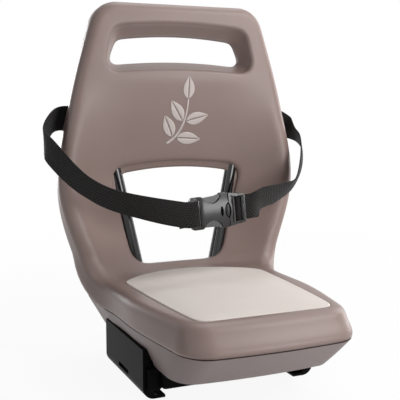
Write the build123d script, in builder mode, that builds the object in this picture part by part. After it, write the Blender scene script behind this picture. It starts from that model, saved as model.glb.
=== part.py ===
import os
from math import acos, cos, hypot, radians, sin

from build123d import *

os.makedirs("parts", exist_ok=True)

# Frame: X to the viewer's right seen from the front, Y backward, Z up, in millimetres.
# Z = 0 is the plane in which the clamp base rests on the carrier's tubes.

# Seat shell: one moulded sheet, level at the seat and bent up into the backrest
wall = 3.0
seat_top_z = 90.0
shell_depth = 31.0
back_foot_y = 20.2
recline = 2.47
bend_radius = 28.0
back_height = 330.5
front_top_y = -205.0
front_part_y = -226.5
rim_radius = 11.0
front_corner_radius = 30.0
front_bow = 6.0
top_corner_radius = 36.0
section_pitch = 15.0

# Half-widths of the sheet, from the seat's front edge to the top of the backrest
front_half = 91.0
thigh_half = 112.0
thigh_y = -100.0
hip_half = 115.0
waist_half = 133.5
wing_half = 158.5
wing_s = 115.0
shoulder_half = 141.5
shoulder_s = 213.0
neck_half = 117.0
neck_s = 300.0
top_half = 105.0

# How far the skirt's lower edge stands outside (+) or inside (-) the sheet
front_flare = 6.0
thigh_flare = -2.5
hip_flare = -1.0
waist_flare = 2.0
back_flare = -5.0

# Dish of the backrest: how far back its middle lies, level by level, above the seat
dish_margin = 12.0
dish_fillet = 6.0
dish_front_y = -60.0
dish_levels = (
    (90.3, 42.0),
    (100.0, 46.0),
    (118.0, 51.0),
    (140.0, 54.0),
    (175.0, 54.5),
    (212.0, 53.0),
    (240.0, 48.5),
    (265.0, 43.5),
    (290.0, 38.0),
    (315.0, 33.2),
    (335.0, 29.5),
)

# Openings in the backrest: bowed top and bottom edges, walls that close in towards the rear
handle_depth = 25.0
handle_top_half = 87.0
handle_top_s = 300.5
handle_low_half = 99.5
handle_low_s = 246.5
handle_bow = 5.5
handle_corner = 13.0
handle_rear_corner = 6.0
handle_taper = 9.5
window_top_half = 90.0
window_top_s = 130.0
window_low_half = 60.0
window_low_s = 8.5
window_bow = 9.0
window_top_corner = 16.0
window_low_corner = 26.0
window_taper = 8.5
handle_flare = 3.0
window_flare = 6.0
window_flare_depth = 16.0

# Base pan
part_gap = 0.4
pan_bottom_z = 21.0
pan_front_y = -184.0
pan_rear_y = 68.0
pan_low_half = 92.0
pan_rear_top_z = 84.0
riser_flare = -5.0
pan_rear_corner = 20.0

# Seat pad
pad_front_y = -197.0
pad_rear_y = 36.0
pad_corner_y = -8.0
pad_bow = 2.5
pad_half_front = 78.0
pad_half_rear = 91.0
pad_recess = 3.0
pad_proud = 2.0
pad_clearance = 0.4
pad_corner = 10.0
pad_bed_half = 96.0
pad_bed_front_y = -203.0
pad_bed_rear_y = 40.0

# Steel hoop
tube_r = 8.0
tube_wall = 1.5
tube_clearance = 0.4
hoop_depth = 33.0
hoop_foot_half = 52.3
hoop_splay = 0.2135
hoop_top_s = 212.0
hoop_front_y = -150.0
hoop_bend = 32.0
clip_half = 42.0
clip_width = 16.0
clip_thickness = 2.5
clip_screw_pitch = 32.0
clip_tip_depth = 17.0

# Screws
shell_screw_front_x = 60.0
shell_screw_front_y = -150.0
shell_screw_rear_x = 60.0
shell_screw_rear_y = -24.0
shell_screw_seat_z = 53.0
shell_screw_tip_z = 78.0
pan_boss_r = 7.0
boss_r = 5.0
screw_r = 2.0
screw_head_r = 4.2
screw_head_h = 2.6
screw_clearance = 0.15

# Carrier clamp
rail_r = 6.0
rail_clearance = 0.1
rail_half = 87.0
jaw_front_y = -112.0
jaw_rear_y = 22.0
jaw_outer = 105.0
jaw_plate = 8.0
jaw_top_z = 40.0
jaw_toe = 3.0
jaw_lip_half = 79.5
jaw_heel_radius = 13.0
jaw_travel = 20.0
jaw_clearance = 1.0
groove_top_angle = 60.0
base_half = 65.0
base_flange_half = 87.0
base_flange = 12.0
base_front_y = -128.0
base_rear_y = 38.0
tongue_front_y = -82.0
tongue_rear_y = -8.0
tongue_low_z = 4.0
tongue_high_z = 18.0
tongue_tip = 42.0
slide_clearance = 0.3
spindle_r = 4.0
spindle_half = 62.0
spindle_clearance = 0.05
nut_length = 12.0
nut_width = 18.0
nut_height = 12.0
wheel_r = 9.5
wheel_width = 12.0
bolt_r = 3.0
bolt_half = 56.0
bolt_front_y = -99.0
bolt_rear_y = 8.0
bolt_head_r = 5.0
bolt_head_h = 4.0
bolt_seat_z = 6.0
jaw_slot_length = 36.0
jaw_slot_height = 5.0
jaw_slot_depth = 3.0
wheel_grips = 18
strap_thickness = 3.0
strap_width = 22.0

# Waist belt and buckle
belt_width = 30.0
belt_thickness = 1.6
anchor_s = 193.0
anchor_half = 120.0
anchor_end_half = 107.0
belt_flat_half = 149.0
belt_gap = 0.1
anchor_plate = 2.0
buckle_length = 72.0
buckle_height = 42.0
buckle_thickness = 12.0
buckle_tilt = 4.5
buckle_x = 16.5
buckle_y = -41.0
buckle_z = 174.0
bar_clearance = 0.4
belt_sections = 24
belt_left_course = (
    (-168, 42, 272),
    (-171, 20, 255),
    (-163, -6, 229),
    (-138, -26, 204),
    (-104, -38, 190),
    (-62, -44, 180),
)
belt_right_course = (
    (169, 50, 267),
    (172, 36, 249),
    (160, 12, 221),
    (142, -5, 203),
    (113, -23, 189),
    (82, -32, 184),
)

# Derived: where the bend lies
lean = radians(recline)
part_z = seat_top_z - shell_depth
bend_run_out = bend_radius * (1 - sin(lean)) / cos(lean)
bend_y = back_foot_y - bend_run_out
bend_z = seat_top_z + bend_radius
sheet_start_y = front_part_y - section_pitch
seat_run = bend_y - sheet_start_y
bend_run = bend_radius * radians(90 - recline)
sheet_length = seat_run + bend_run + back_height + section_pitch - bend_run_out
pad_floor_z = seat_top_z - pad_recess
pan_floor_z = pan_bottom_z + wall
tube_z = pan_floor_z + tube_r + tube_clearance
spindle_y = (tongue_front_y + tongue_rear_y) / 2
spindle_z = (tongue_low_z + tongue_high_z) / 2

# The backrest's front plane: X across, Y up along it, Z forward out of it
back_front = Plane(
    origin=(0, back_foot_y, seat_top_z), x_dir=(1, 0, 0), z_dir=(0, -cos(lean), sin(lean))
)


def along_seat(y):
    return y - sheet_start_y


def along_back(s):
    return seat_run + bend_run + s - bend_run_out


def back_point(x, s, depth):
    return back_front.from_local_coords(Vector(x, s, -depth))


# Stations along the sheet: distance from its start, half-width, flare of the skirt
stations = (
    (along_seat(front_top_y), front_half, front_flare),
    (along_seat(thigh_y), thigh_half, thigh_flare),
    (along_seat(bend_y), hip_half, hip_flare),
    (along_back(bend_run_out), waist_half, waist_flare),
    (along_back(wing_s), wing_half, back_flare),
    (along_back(shoulder_s), shoulder_half, back_flare),
    (along_back(neck_s), neck_half, back_flare),
    (along_back(back_height), top_half, back_flare),
)


def station_value(u, column):
    """Smooth value between the stations: cubic pieces with matching slopes."""

    def slope(i):
        low, high = stations[max(i - 1, 0)], stations[min(i + 1, len(stations) - 1)]
        return (high[column] - low[column]) / (high[0] - low[0])

    if u <= stations[0][0]:
        return stations[0][column] + slope(0) * (u - stations[0][0])
    last = len(stations) - 1
    if u >= stations[last][0]:
        return stations[last][column] + slope(last) * (u - stations[last][0])
    i = max(k for k in range(last) if stations[k][0] <= u)
    h = stations[i + 1][0] - stations[i][0]
    t = (u - stations[i][0]) / h
    rise = 3 * t**2 - 2 * t**3
    value = stations[i][column] * (1 - rise) + stations[i + 1][column] * rise
    return value + h * (slope(i) * (t**3 - 2 * t**2 + t) + slope(i + 1) * (t**3 - t**2))


def sheet_plane(u):
    """Section plane of the sheet: X across, Y into its depth."""
    if u <= seat_run:
        a = 0.0
        origin = (0, sheet_start_y + u, seat_top_z)
    elif u <= seat_run + bend_run:
        a = (u - seat_run) / bend_radius
        origin = (0, bend_y + bend_radius * sin(a), bend_z - bend_radius * cos(a))
    else:
        a = radians(90 - recline)
        s = u - along_back(0)
        origin = (0, back_foot_y + s * sin(lean), seat_top_z + s * cos(lean))
    return Plane(origin=origin, x_dir=(1, 0, 0), z_dir=(0, cos(a), sin(a)))


def front_cutter(start, end, inset):
    """Everything ahead of a bowed front face that slopes through two (y, z) points."""
    run_y, run_z = end[0] - start[0], end[1] - start[1]
    length = hypot(run_y, run_z)
    y = start[0] - run_y + inset * length / abs(run_z)
    reach = 2 * front_half
    with BuildPart() as cutter:
        with BuildSketch(Plane.XY.offset(start[1] - run_z)):
            with BuildLine():
                ThreePointArc((-reach, y + 4 * front_bow), (0, y), (reach, y + 4 * front_bow))
                Polyline(
                    (reach, y + 4 * front_bow), (reach, y - reach),
                    (-reach, y - reach), (-reach, y + 4 * front_bow),
                )
            make_face()
        extrude(amount=3 * length, dir=(0, run_y, run_z))
    return cutter.part


def sheet_block(inset, top_depth, low_depth, rim):
    """Solid of the bent sheet between two depths, its sides and ends moved in by inset."""
    count = round(sheet_length / section_pitch)
    with BuildPart() as block:
        for i in range(count + 1):
            u = sheet_length * i / count
            half = station_value(u, 1) - inset
            lean_in = station_value(u, 2) / shell_depth
            high, low = half + lean_in * top_depth, half + lean_in * low_depth
            with BuildSketch(sheet_plane(u)):
                with BuildLine():
                    Polyline(
                        (-high, top_depth), (high, top_depth),
                        (low, low_depth), (-low, low_depth), close=True
                    )
                make_face()
        loft()
        if rim:
            add(front_cutter((front_part_y, part_z), (front_top_y, seat_top_z), inset), mode=Mode.SUBTRACT)
            with BuildSketch(sheet_plane(along_back(back_height - inset))):
                Rectangle(4 * wing_half, 4 * shell_depth)
            extrude(amount=2 * section_pitch, mode=Mode.SUBTRACT)
            front = block.faces().sort_by(Axis.Y)[0].edges()
            fillet(front.filter_by(lambda e: abs(e.center().X) > front_half / 2), front_corner_radius - inset)
            top = block.faces().sort_by(Axis.Z)[-1].edges()
            fillet(top.filter_by(lambda e: abs(e.center().X) > top_half / 2), top_corner_radius - inset)
            sheet = block.faces().sort_by(SortBy.AREA)[-2:].sort_by(Axis.Y)[0]
            fillet(sheet.edges(), rim)
    return block.part


def sheet_front(z):
    """Where the sheet's front face lies at one height: its Y and its half-width there."""
    if z < bend_z - bend_radius * sin(lean):
        a = acos((bend_z - z) / bend_radius)
        return bend_y + bend_radius * sin(a), station_value(seat_run + bend_radius * a, 1)
    s = (z - seat_top_z) / cos(lean)
    return back_foot_y + s * sin(lean), station_value(along_back(s), 1)


def dish(grow):
    """Space in front of the dished backrest, moved out by grow."""
    with BuildPart() as space:
        for z, middle_y in dish_levels:
            side_y, half = sheet_front(z)
            half += grow - dish_margin
            side_y -= 0.5
            level = z - grow if z == dish_levels[0][0] else z
            with BuildSketch(Plane.XY.offset(level)):
                with BuildLine():
                    ThreePointArc((-half, side_y), (0, middle_y + grow), (half, side_y))
                    Polyline((half, side_y), (half, dish_front_y), (-half, dish_front_y), (-half, side_y))
                make_face()
        loft()
        foot = space.edges().group_by(Axis.Z)[0].sort_by(Axis.Y)[-1]
        fillet(foot, dish_fillet - grow / 2)
    return space.part


def opening_outline(depth, top_half, top_s, low_half, low_s, top_bow, low_bow, top_r, low_r, grow):
    with BuildSketch(back_front.offset(-depth)) as outline:
        with BuildLine():
            ThreePointArc((-top_half, top_s), (0, top_s + top_bow), (top_half, top_s))
            Line((top_half, top_s), (low_half, low_s))
            ThreePointArc((low_half, low_s), (0, low_s + low_bow), (-low_half, low_s))
            Line((-low_half, low_s), (-top_half, top_s))
        make_face()
        fillet(outline.vertices().group_by(Axis.Y)[-1], top_r)
        fillet(outline.vertices().group_by(Axis.Y)[0], low_r)
        if grow:
            offset(amount=grow)
    return outline.sketch


def opening(front_size, rear_size, front_corners, rear_corners, edge, grow, reach_front, reach_rear):
    """Tunnel through the backrest with an eased front edge, closing in towards the rear."""
    edge_depth, flare, rear_depth = edge
    eased = [(edge_depth, flare), (edge_depth + 0.3 * flare, 0.3 * flare), (edge_depth + flare, 0)]
    sections = [opening_outline(depth, *front_size, *front_corners, grow + ease) for depth, ease in eased]
    sections.append(opening_outline(rear_depth, *rear_size, *rear_corners, grow))
    with BuildPart() as tunnel:
        loft(sections=sections, ruled=True)
        if reach_front:
            extrude(sections[0], amount=reach_front, dir=back_front.z_dir)
        if reach_rear:
            extrude(sections[-1], amount=reach_rear, dir=-back_front.z_dir)
    return tunnel.part


window_side = (window_top_half - window_low_half) / (window_top_s - window_low_s)
handle_front = (handle_top_half, handle_top_s, handle_low_half, handle_low_s, handle_bow, handle_bow)
handle_rear = (
    handle_top_half - handle_taper,
    handle_top_s - 1.4 * handle_taper,
    handle_low_half - handle_taper,
    handle_low_s + handle_taper,
    handle_bow,
    handle_bow,
)
handle_corners = (handle_corner, handle_corner), (handle_rear_corner, handle_rear_corner)
handle_edge = 0, handle_flare, handle_depth
window_front = (window_top_half, window_top_s, window_low_half, window_low_s, window_bow, 0.5)
window_rear = (
    window_top_half - window_taper * window_side,
    window_top_s - window_taper,
    window_low_half,
    window_low_s,
    window_bow,
    0.5,
)
window_corners = (window_top_corner, window_low_corner), (window_top_corner, window_low_corner)
window_edge = window_flare_depth, window_flare, shell_depth


def pad_outline(grow, z):
    with BuildSketch(Plane.XY.offset(z)) as outline:
        with BuildLine():
            Line((-pad_half_front, pad_front_y), (pad_half_front, pad_front_y))
            ThreePointArc(
                (pad_half_front, pad_front_y),
                ((pad_half_front + pad_half_rear) / 2 + pad_bow, (pad_front_y + pad_corner_y) / 2),
                (pad_half_rear, pad_corner_y),
            )
            ThreePointArc((pad_half_rear, pad_corner_y), (0, pad_rear_y), (-pad_half_rear, pad_corner_y))
            ThreePointArc(
                (-pad_half_rear, pad_corner_y),
                (-(pad_half_front + pad_half_rear) / 2 - pad_bow, (pad_front_y + pad_corner_y) / 2),
                (-pad_half_front, pad_front_y),
            )
        make_face()
        fillet(outline.vertices(), pad_corner)
        if grow:
            offset(amount=grow)
    return outline.sketch


# Hoop: two legs under the seat, up behind the backrest, joined by a cross bar
hoop_low_s = (tube_z - seat_top_z + hoop_depth * sin(lean)) / cos(lean)
leg_half = hoop_foot_half + hoop_splay * hoop_low_s
hoop_top_half = hoop_foot_half + hoop_splay * hoop_top_s
hoop_low = back_point(leg_half, hoop_low_s, hoop_depth)
hoop_high = back_point(hoop_top_half, hoop_top_s, hoop_depth)


def hoop_tube(outer, bore):
    with BuildPart() as tube:
        with BuildLine() as path:
            FilletPolyline(
                (-leg_half, hoop_front_y, tube_z),
                (-hoop_low.X, hoop_low.Y, hoop_low.Z),
                (-hoop_high.X, hoop_high.Y, hoop_high.Z),
                hoop_high,
                hoop_low,
                (leg_half, hoop_front_y, tube_z),
                radius=hoop_bend,
            )
        with BuildSketch(Plane(origin=path.wires()[0] @ 0, z_dir=path.wires()[0] % 0)):
            Circle(outer)
            if bore:
                Circle(bore, mode=Mode.SUBTRACT)
        sweep(path=path.wires()[0])
    return tube.part


def pin(start, end, radius):
    """Straight round solid between two points."""
    start, end = Vector(*start), Vector(*end)
    with BuildPart() as rod:
        with BuildSketch(Plane(origin=start, z_dir=end - start)):
            Circle(radius)
        extrude(amount=(end - start).length)
    return rod.part


hoop_clearance = hoop_tube(tube_r + tube_clearance, 0)
shell_screw_spots = [(side * shell_screw_front_x, shell_screw_front_y) for side in (-1, 1)]
shell_screw_spots += [(side * shell_screw_rear_x, shell_screw_rear_y) for side in (-1, 1)]
bolt_spots = [(side * bolt_half, y) for side in (-1, 1) for y in (bolt_front_y, bolt_rear_y)]
clip_rows = (hoop_top_s - clip_screw_pitch / 2, hoop_top_s + clip_screw_pitch / 2)
clip_screw_spots = [(side * clip_half, s) for side in (-1, 1) for s in clip_rows]
anchor_spots = [(side * anchor_half, anchor_s) for side in (-1, 1)]
clip_boss_depth = hoop_depth
anchor_boss_depth = shell_depth + 0.3
pilot_r = screw_r + screw_clearance

# Seat shell: the cavity behind the backrest leaves out its bosses, so they stay in the moulding
with BuildPart() as cavity:
    add(sheet_block(wall, wall, shell_depth + 2 * wall, rim_radius - wall))
    add(opening(handle_front, handle_rear, *handle_corners, handle_edge, wall, 0, 0), mode=Mode.SUBTRACT)
    add(opening(window_front, window_rear, *window_corners, window_edge, wall, 0, 0), mode=Mode.SUBTRACT)
    add(dish(wall), mode=Mode.SUBTRACT)
    with BuildSketch(Plane.XY.offset(pad_floor_z - wall)):
        with Locations((0, (pad_bed_front_y + pad_bed_rear_y) / 2)):
            Rectangle(2 * pad_bed_half, pad_bed_rear_y - pad_bed_front_y)
    extrude(amount=2 * wall, mode=Mode.SUBTRACT)
    for x, s in clip_screw_spots + anchor_spots:
        add(pin(back_point(x, s, shell_depth + 3 * wall), back_point(x, s, 0), boss_r), mode=Mode.SUBTRACT)

with BuildPart() as seat_shell:
    add(sheet_block(0, 0, shell_depth, rim_radius))
    add(dish(0), mode=Mode.SUBTRACT)
    add(cavity.part, mode=Mode.SUBTRACT)
    for x, y in shell_screw_spots:
        add(pin((x, y, part_z + 1), (x, y, pad_floor_z - 1), boss_r))
    for x, s in clip_screw_spots:
        add(pin(back_point(x, s, clip_boss_depth), back_point(x, s, shell_depth - wall), boss_r))
    for x, s in anchor_spots:
        add(pin(back_point(x, s, anchor_boss_depth), back_point(x, s, shell_depth - wall), boss_r))
    add(
        opening(handle_front, handle_rear, *handle_corners, handle_edge, 0, 2 * wall, shell_depth),
        mode=Mode.SUBTRACT,
    )
    add(
        opening(window_front, window_rear, *window_corners, window_edge, 0, shell_depth, shell_depth),
        mode=Mode.SUBTRACT,
    )
    extrude(pad_outline(pad_clearance, pad_floor_z), amount=bend_radius / 2, mode=Mode.SUBTRACT)
    add(hoop_clearance, mode=Mode.SUBTRACT)
    for x, y in shell_screw_spots:
        add(pin((x, y, part_z), (x, y, shell_screw_tip_z + 1), pilot_r), mode=Mode.SUBTRACT)
    for x, s in clip_screw_spots:
        pilot = pin(back_point(x, s, clip_boss_depth), back_point(x, s, clip_tip_depth - 1), pilot_r)
        add(pilot, mode=Mode.SUBTRACT)
    for x, s in anchor_spots:
        pilot = pin(back_point(x, s, anchor_boss_depth), back_point(x, s, 2 * wall), pilot_r)
        add(pilot, mode=Mode.SUBTRACT)
seat_shell.part.label = "seat_shell"
export_step(seat_shell.part, "parts/seat_shell.step")


# Base pan
def pan_block(inset):
    """Tray below the parting line and the riser behind the bend, sides and floor moved in by inset."""
    low_z = pan_bottom_z + inset
    start_y = front_part_y - section_pitch
    end_y = pan_rear_y - inset
    count = round((end_y - start_y) / section_pitch)
    with BuildPart() as block:
        for i in range(count + 1):
            y = start_y + (end_y - start_y) * i / count
            u = along_seat(min(y, bend_y))
            half = station_value(u, 1) + station_value(u, 2) - inset
            low = pan_low_half - inset
            with BuildSketch(Plane(origin=(0, y, 0), x_dir=(1, 0, 0), z_dir=(0, -1, 0))):
                with BuildLine():
                    Polyline((-low, low_z), (low, low_z), (half, part_z), (-half, part_z), close=True)
                make_face()
        loft()
        add(front_cutter((front_part_y, part_z), (pan_front_y, pan_bottom_z), inset), mode=Mode.SUBTRACT)
        front = block.faces().sort_by(Axis.Y)[0].edges()
        fillet(front.filter_by(lambda e: abs(e.center().X) > front_half / 2), front_corner_radius - inset)
    with BuildPart() as riser:
        foot = hip_half + hip_flare - inset
        with BuildSketch(Plane(origin=(0, bend_y, 0), x_dir=(1, 0, 0), z_dir=(0, -1, 0))):
            with BuildLine():
                Polyline(
                    (-foot, part_z), (foot, part_z), (foot + riser_flare, pan_rear_top_z - inset),
                    (-foot - riser_flare, pan_rear_top_z - inset), close=True
                )
            make_face()
        extrude(amount=-(end_y - bend_y))
        rear = riser.faces().sort_by(Axis.Y)[-1]
        fillet(rear.edges().filter_by(lambda e: abs(e.center().X) > foot / 2), pan_rear_corner - inset)
    return block.part, riser.part


with BuildPart() as parting:
    add(sheet_block(-section_pitch, -wall, shell_depth + part_gap, 0))

notch_half = jaw_outer - jaw_plate - jaw_travel - jaw_clearance


def notch(grow):
    """Room for one jaw plate on each side of the pan."""
    with BuildPart() as room:
        for side in (-1, 1):
            with BuildSketch(Plane.XY.offset(pan_bottom_z - wall)):
                with Locations((side * (notch_half - grow + wing_half / 2), (jaw_front_y + jaw_rear_y) / 2)):
                    Rectangle(wing_half, jaw_rear_y - jaw_front_y + 2 * jaw_clearance + 2 * grow)
            extrude(amount=jaw_top_z + jaw_clearance + grow - pan_bottom_z + wall)
    return room.part


pan_outer, riser_outer = pan_block(0)
pan_inner, riser_inner = pan_block(wall)

with BuildPart() as pan_cavity:
    add(pan_inner)
    add(riser_inner)
    add(notch(wall), mode=Mode.SUBTRACT)

with BuildPart() as base_pan:
    add(pan_outer)
    add(riser_outer)
    add(pan_cavity.part, mode=Mode.SUBTRACT)
    add(notch(0), mode=Mode.SUBTRACT)
    add(parting.part, mode=Mode.SUBTRACT)
    add(hoop_clearance, mode=Mode.SUBTRACT)
    for x, y in shell_screw_spots:
        add(pin((x, y, pan_bottom_z), (x, y, part_z + 1 - part_gap), pan_boss_r))
    for x, y in shell_screw_spots:
        add(pin((x, y, 0), (x, y, shell_screw_seat_z), screw_head_r + 0.4), mode=Mode.SUBTRACT)
        add(pin((x, y, 0), (x, y, part_z + wall), screw_r + 0.3), mode=Mode.SUBTRACT)
    for x, y in bolt_spots:
        add(pin((x, y, 0), (x, y, pan_floor_z + 1), bolt_r + 0.3), mode=Mode.SUBTRACT)
base_pan.part.label = "base_pan"
export_step(base_pan.part, "parts/base_pan.step")

# Seat pad
with BuildPart() as seat_pad:
    extrude(pad_outline(0, pad_floor_z), amount=pad_recess + pad_proud)
    fillet(seat_pad.faces().sort_by(Axis.Z)[-1].edges(), pad_proud - 0.2)
seat_pad.part.label = "seat_pad"
export_step(seat_pad.part, "parts/seat_pad.step")

# Steel hoop and its end plugs
with BuildPart() as frame_hoop:
    add(hoop_tube(tube_r, tube_r - tube_wall))
frame_hoop.part.label = "frame_hoop"
export_step(frame_hoop.part, "parts/frame_hoop.step")

with BuildPart() as hoop_plugs:
    for side in (-1, 1):
        add(pin((side * leg_half, hoop_front_y - 3, tube_z), (side * leg_half, hoop_front_y, tube_z), tube_r))
        add(pin((side * leg_half, hoop_front_y, tube_z), (side * leg_half, hoop_front_y + 10, tube_z),
                tube_r - tube_wall - 0.2))
hoop_plugs.part.label = "hoop_plugs"
export_step(hoop_plugs.part, "parts/hoop_plugs.step")


def screw(seat, tip, shank_r, head_r, head_h):
    """Fastener with its head behind the seat point and its shank running to the tip."""
    seat, tip = Vector(*seat), Vector(*tip)
    along = (tip - seat).normalized()
    with BuildPart() as fastener:
        add(pin(seat, tip, shank_r))
        add(pin(seat - along * head_h, seat, head_r))
    return fastener.part


# Saddles that hold the hoop's cross bar, and their screws
with BuildPart() as hoop_clips:
    for side in (-1, 1):
        saddle = Plane(
            origin=back_point(side * clip_half - clip_width / 2, hoop_top_s, hoop_depth),
            x_dir=back_front.y_dir,
            z_dir=(1, 0, 0),
        )
        with BuildSketch(saddle):
            Circle(tube_r + tube_clearance + clip_thickness)
            with Locations((0, -clip_thickness / 2)):
                Rectangle(clip_screw_pitch + 2 * boss_r, clip_thickness)
            Circle(tube_r + tube_clearance, mode=Mode.SUBTRACT)
            with Locations((0, 2 * tube_r)):
                Rectangle(4 * clip_screw_pitch, 4 * tube_r, mode=Mode.SUBTRACT)
        extrude(amount=clip_width)
    for x, s in clip_screw_spots:
        inner, outer = back_point(x, s, hoop_depth - 1), back_point(x, s, hoop_depth + 2 * clip_thickness)
        add(pin(inner, outer, screw_r + 0.3), mode=Mode.SUBTRACT)
hoop_clips.part.label = "hoop_clips"
export_step(hoop_clips.part, "parts/hoop_clips.step")

with BuildPart() as clip_screws:
    for x, s in clip_screw_spots:
        add(screw(back_point(x, s, hoop_depth + clip_thickness), back_point(x, s, clip_tip_depth),
                  screw_r, screw_head_r, screw_head_h))
clip_screws.part.label = "clip_screws"
export_step(clip_screws.part, "parts/clip_screws.step")

with BuildPart() as shell_screws:
    for x, y in shell_screw_spots:
        add(screw((x, y, shell_screw_seat_z), (x, y, shell_screw_tip_z), screw_r, screw_head_r, screw_head_h))
shell_screws.part.label = "shell_screws"
export_step(shell_screws.part, "parts/shell_screws.step")

# Belt anchors on the back of the shell, and their screws
belt_depth = anchor_boss_depth + belt_gap + belt_thickness / 2
anchor_depth = belt_depth + belt_thickness / 2 + belt_gap

with BuildPart() as belt_anchors:
    for x, s in anchor_spots:
        with BuildSketch(back_front.offset(-anchor_depth)):
            with Locations((x, s)):
                RectangleRounded(20, belt_width + 4, 4)
                Circle(screw_r + 0.3, mode=Mode.SUBTRACT)
        extrude(amount=-anchor_plate)
belt_anchors.part.label = "belt_anchors"
export_step(belt_anchors.part, "parts/belt_anchors.step")

with BuildPart() as anchor_screws:
    for x, s in anchor_spots:
        add(screw(back_point(x, s, anchor_depth + anchor_plate), back_point(x, s, 10),
                  screw_r, screw_head_r, screw_head_h))
anchor_screws.part.label = "anchor_screws"
export_step(anchor_screws.part, "parts/anchor_screws.step")

# Buckle frame: X along the belt, Y up across it, Z out to the front
buckle_plane = Plane(
    origin=(buckle_x, buckle_y, buckle_z),
    x_dir=back_front.x_dir * cos(radians(buckle_tilt)) + back_front.y_dir * sin(radians(buckle_tilt)),
    z_dir=back_front.z_dir,
)
buckle_side = Plane(origin=buckle_plane.origin, x_dir=buckle_plane.x_dir, z_dir=-buckle_plane.y_dir)
out_axis = Axis(buckle_plane.origin, buckle_plane.z_dir)
half_length = buckle_length / 2
half_height = buckle_height / 2


def buckle_point(x, y, z):
    return buckle_plane.from_local_coords(Vector(x, y, z))


def buckle_block(x0, x1, y_half, z0, z1, y_mid=0.0):
    with BuildPart() as block:
        with BuildSketch(buckle_plane.offset(z0)):
            with Locations(((x0 + x1) / 2, y_mid)):
                Rectangle(x1 - x0, 2 * y_half)
        extrude(amount=z1 - z0)
    return block.part


bar_r = 2.5
bar_x = -half_length + bar_r
ring_r = bar_r + bar_clearance + belt_thickness / 2
slot_half = belt_width / 2 + 0.6
socket_slot_end = bar_x + ring_r + belt_thickness / 2 + 3.5
mouth_x = 13.3
release_x = -10.0
release_r = 11.5
prong_half = 3.0
prong_room = 0.4

with BuildPart() as buckle_socket:
    with BuildSketch(buckle_plane) as socket_outline:
        with BuildLine():
            Polyline(
                (mouth_x, half_height), (mouth_x, -half_height), (release_x - release_r, -half_height + 2),
                (-half_length, -half_height + 2), (-half_length, half_height - 2),
                (release_x - release_r, half_height - 2), close=True
            )
        make_face()
        fillet(socket_outline.vertices().group_by(Axis.X)[0], 5)
        fillet(socket_outline.vertices().group_by(Axis.X)[-1], 3)
        with Locations((release_x, half_height + 3), (release_x, -half_height - 3)):
            Circle(release_r, mode=Mode.SUBTRACT)
    extrude(amount=buckle_thickness / 2, both=True)
    socket_faces = buckle_socket.faces().sort_by(out_axis)
    fillet(socket_faces[-1].edges() + socket_faces[0].edges(), 1.5)
    add(
        buckle_block(-half_length - 1, socket_slot_end, slot_half, -half_length, half_length),
        mode=Mode.SUBTRACT,
    )
    add(buckle_block(-half_length - 1, socket_slot_end, half_length, 4, half_length), mode=Mode.SUBTRACT)
    add(buckle_block(-half_length - 1, socket_slot_end, half_length, -half_length, -4), mode=Mode.SUBTRACT)
    add(pin(buckle_point(bar_x, -slot_half - 1, 0), buckle_point(bar_x, slot_half + 1, 0), bar_r))
    prong_deep = prong_half + prong_room
    add(buckle_block(-19, mouth_x + 1, 16, -prong_deep, prong_deep), mode=Mode.SUBTRACT)
buckle_socket.part.label = "buckle_socket"
export_step(buckle_socket.part, "parts/buckle_socket.step")

plug_x = mouth_x + 0.3
ladder_x = 23.6
ladder_end = 31.4
rung_x0, rung_x1 = 26.2, 28.8
with BuildPart() as buckle_plug:
    with BuildSketch(buckle_plane) as plug_outline:
        with BuildLine():
            Polyline(
                (plug_x, half_height - 1), (plug_x, -half_height + 1), (half_length, -half_height + 3.5),
                (half_length, half_height - 3.5), close=True
            )
        make_face()
        fillet(plug_outline.vertices().group_by(Axis.X)[-1], 4)
    extrude(amount=buckle_thickness / 2 - 1, both=True)
    plug_faces = buckle_plug.faces().sort_by(out_axis)
    fillet(plug_faces[-1].edges() + plug_faces[0].edges(), 1.2)
    add(buckle_block(ladder_x, ladder_end, slot_half, -half_length, half_length), mode=Mode.SUBTRACT)
    add(buckle_block(ladder_x, half_length + 1, slot_half, -half_length, -2.6), mode=Mode.SUBTRACT)
    add(buckle_block(rung_x0, rung_x1, slot_half + 1, -2, 1))
    add(buckle_block(-6, plug_x + 1, 3, -prong_half, prong_half))
    for side in (-1, 1):
        add(buckle_block(-16, plug_x + 1, 2.5, -prong_half, prong_half, side * 11))
        with BuildSketch(buckle_plane.offset(-prong_half)):
            with BuildLine():
                Polyline((-3, side * 10), (-4.5, side * 15.4), (-12, side * 15.4), (-17.5, side * 11),
                         (-16, side * 10), close=True)
            make_face()
        extrude(amount=2 * prong_half)
buckle_plug.part.label = "buckle_plug"
export_step(buckle_plug.part, "parts/buckle_plug.step")


# Waist belt: one run of webbing on each side, flat behind the shell and looped at the buckle
def belt_run(side, points, end_dir):
    start_dir = Vector(side, 0, 0)
    start = back_point(side * belt_flat_half, anchor_s, belt_depth)
    with BuildLine() as path:
        Spline(start, *points)
    course = path.edges()[0]
    sections = []
    for i in range(belt_sections + 1):
        tangent = course % (i / belt_sections)
        if i == 0:
            tangent = start_dir
        if i == belt_sections:
            tangent = end_dir
        across = back_front.y_dir - tangent * back_front.y_dir.dot(tangent)
        sections.append(Plane(origin=course @ (i / belt_sections), x_dir=across, z_dir=tangent))
    with BuildPart() as run:
        with BuildSketch(Plane(origin=start, x_dir=back_front.y_dir, z_dir=-start_dir)):
            Rectangle(belt_width, belt_thickness)
        extrude(amount=belt_flat_half - anchor_end_half)
        for i in range(0, belt_sections, 2):
            for section in sections[i : i + 3]:
                with BuildSketch(section):
                    Rectangle(belt_width, belt_thickness)
            loft(ruled=True)
    return run.part


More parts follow.
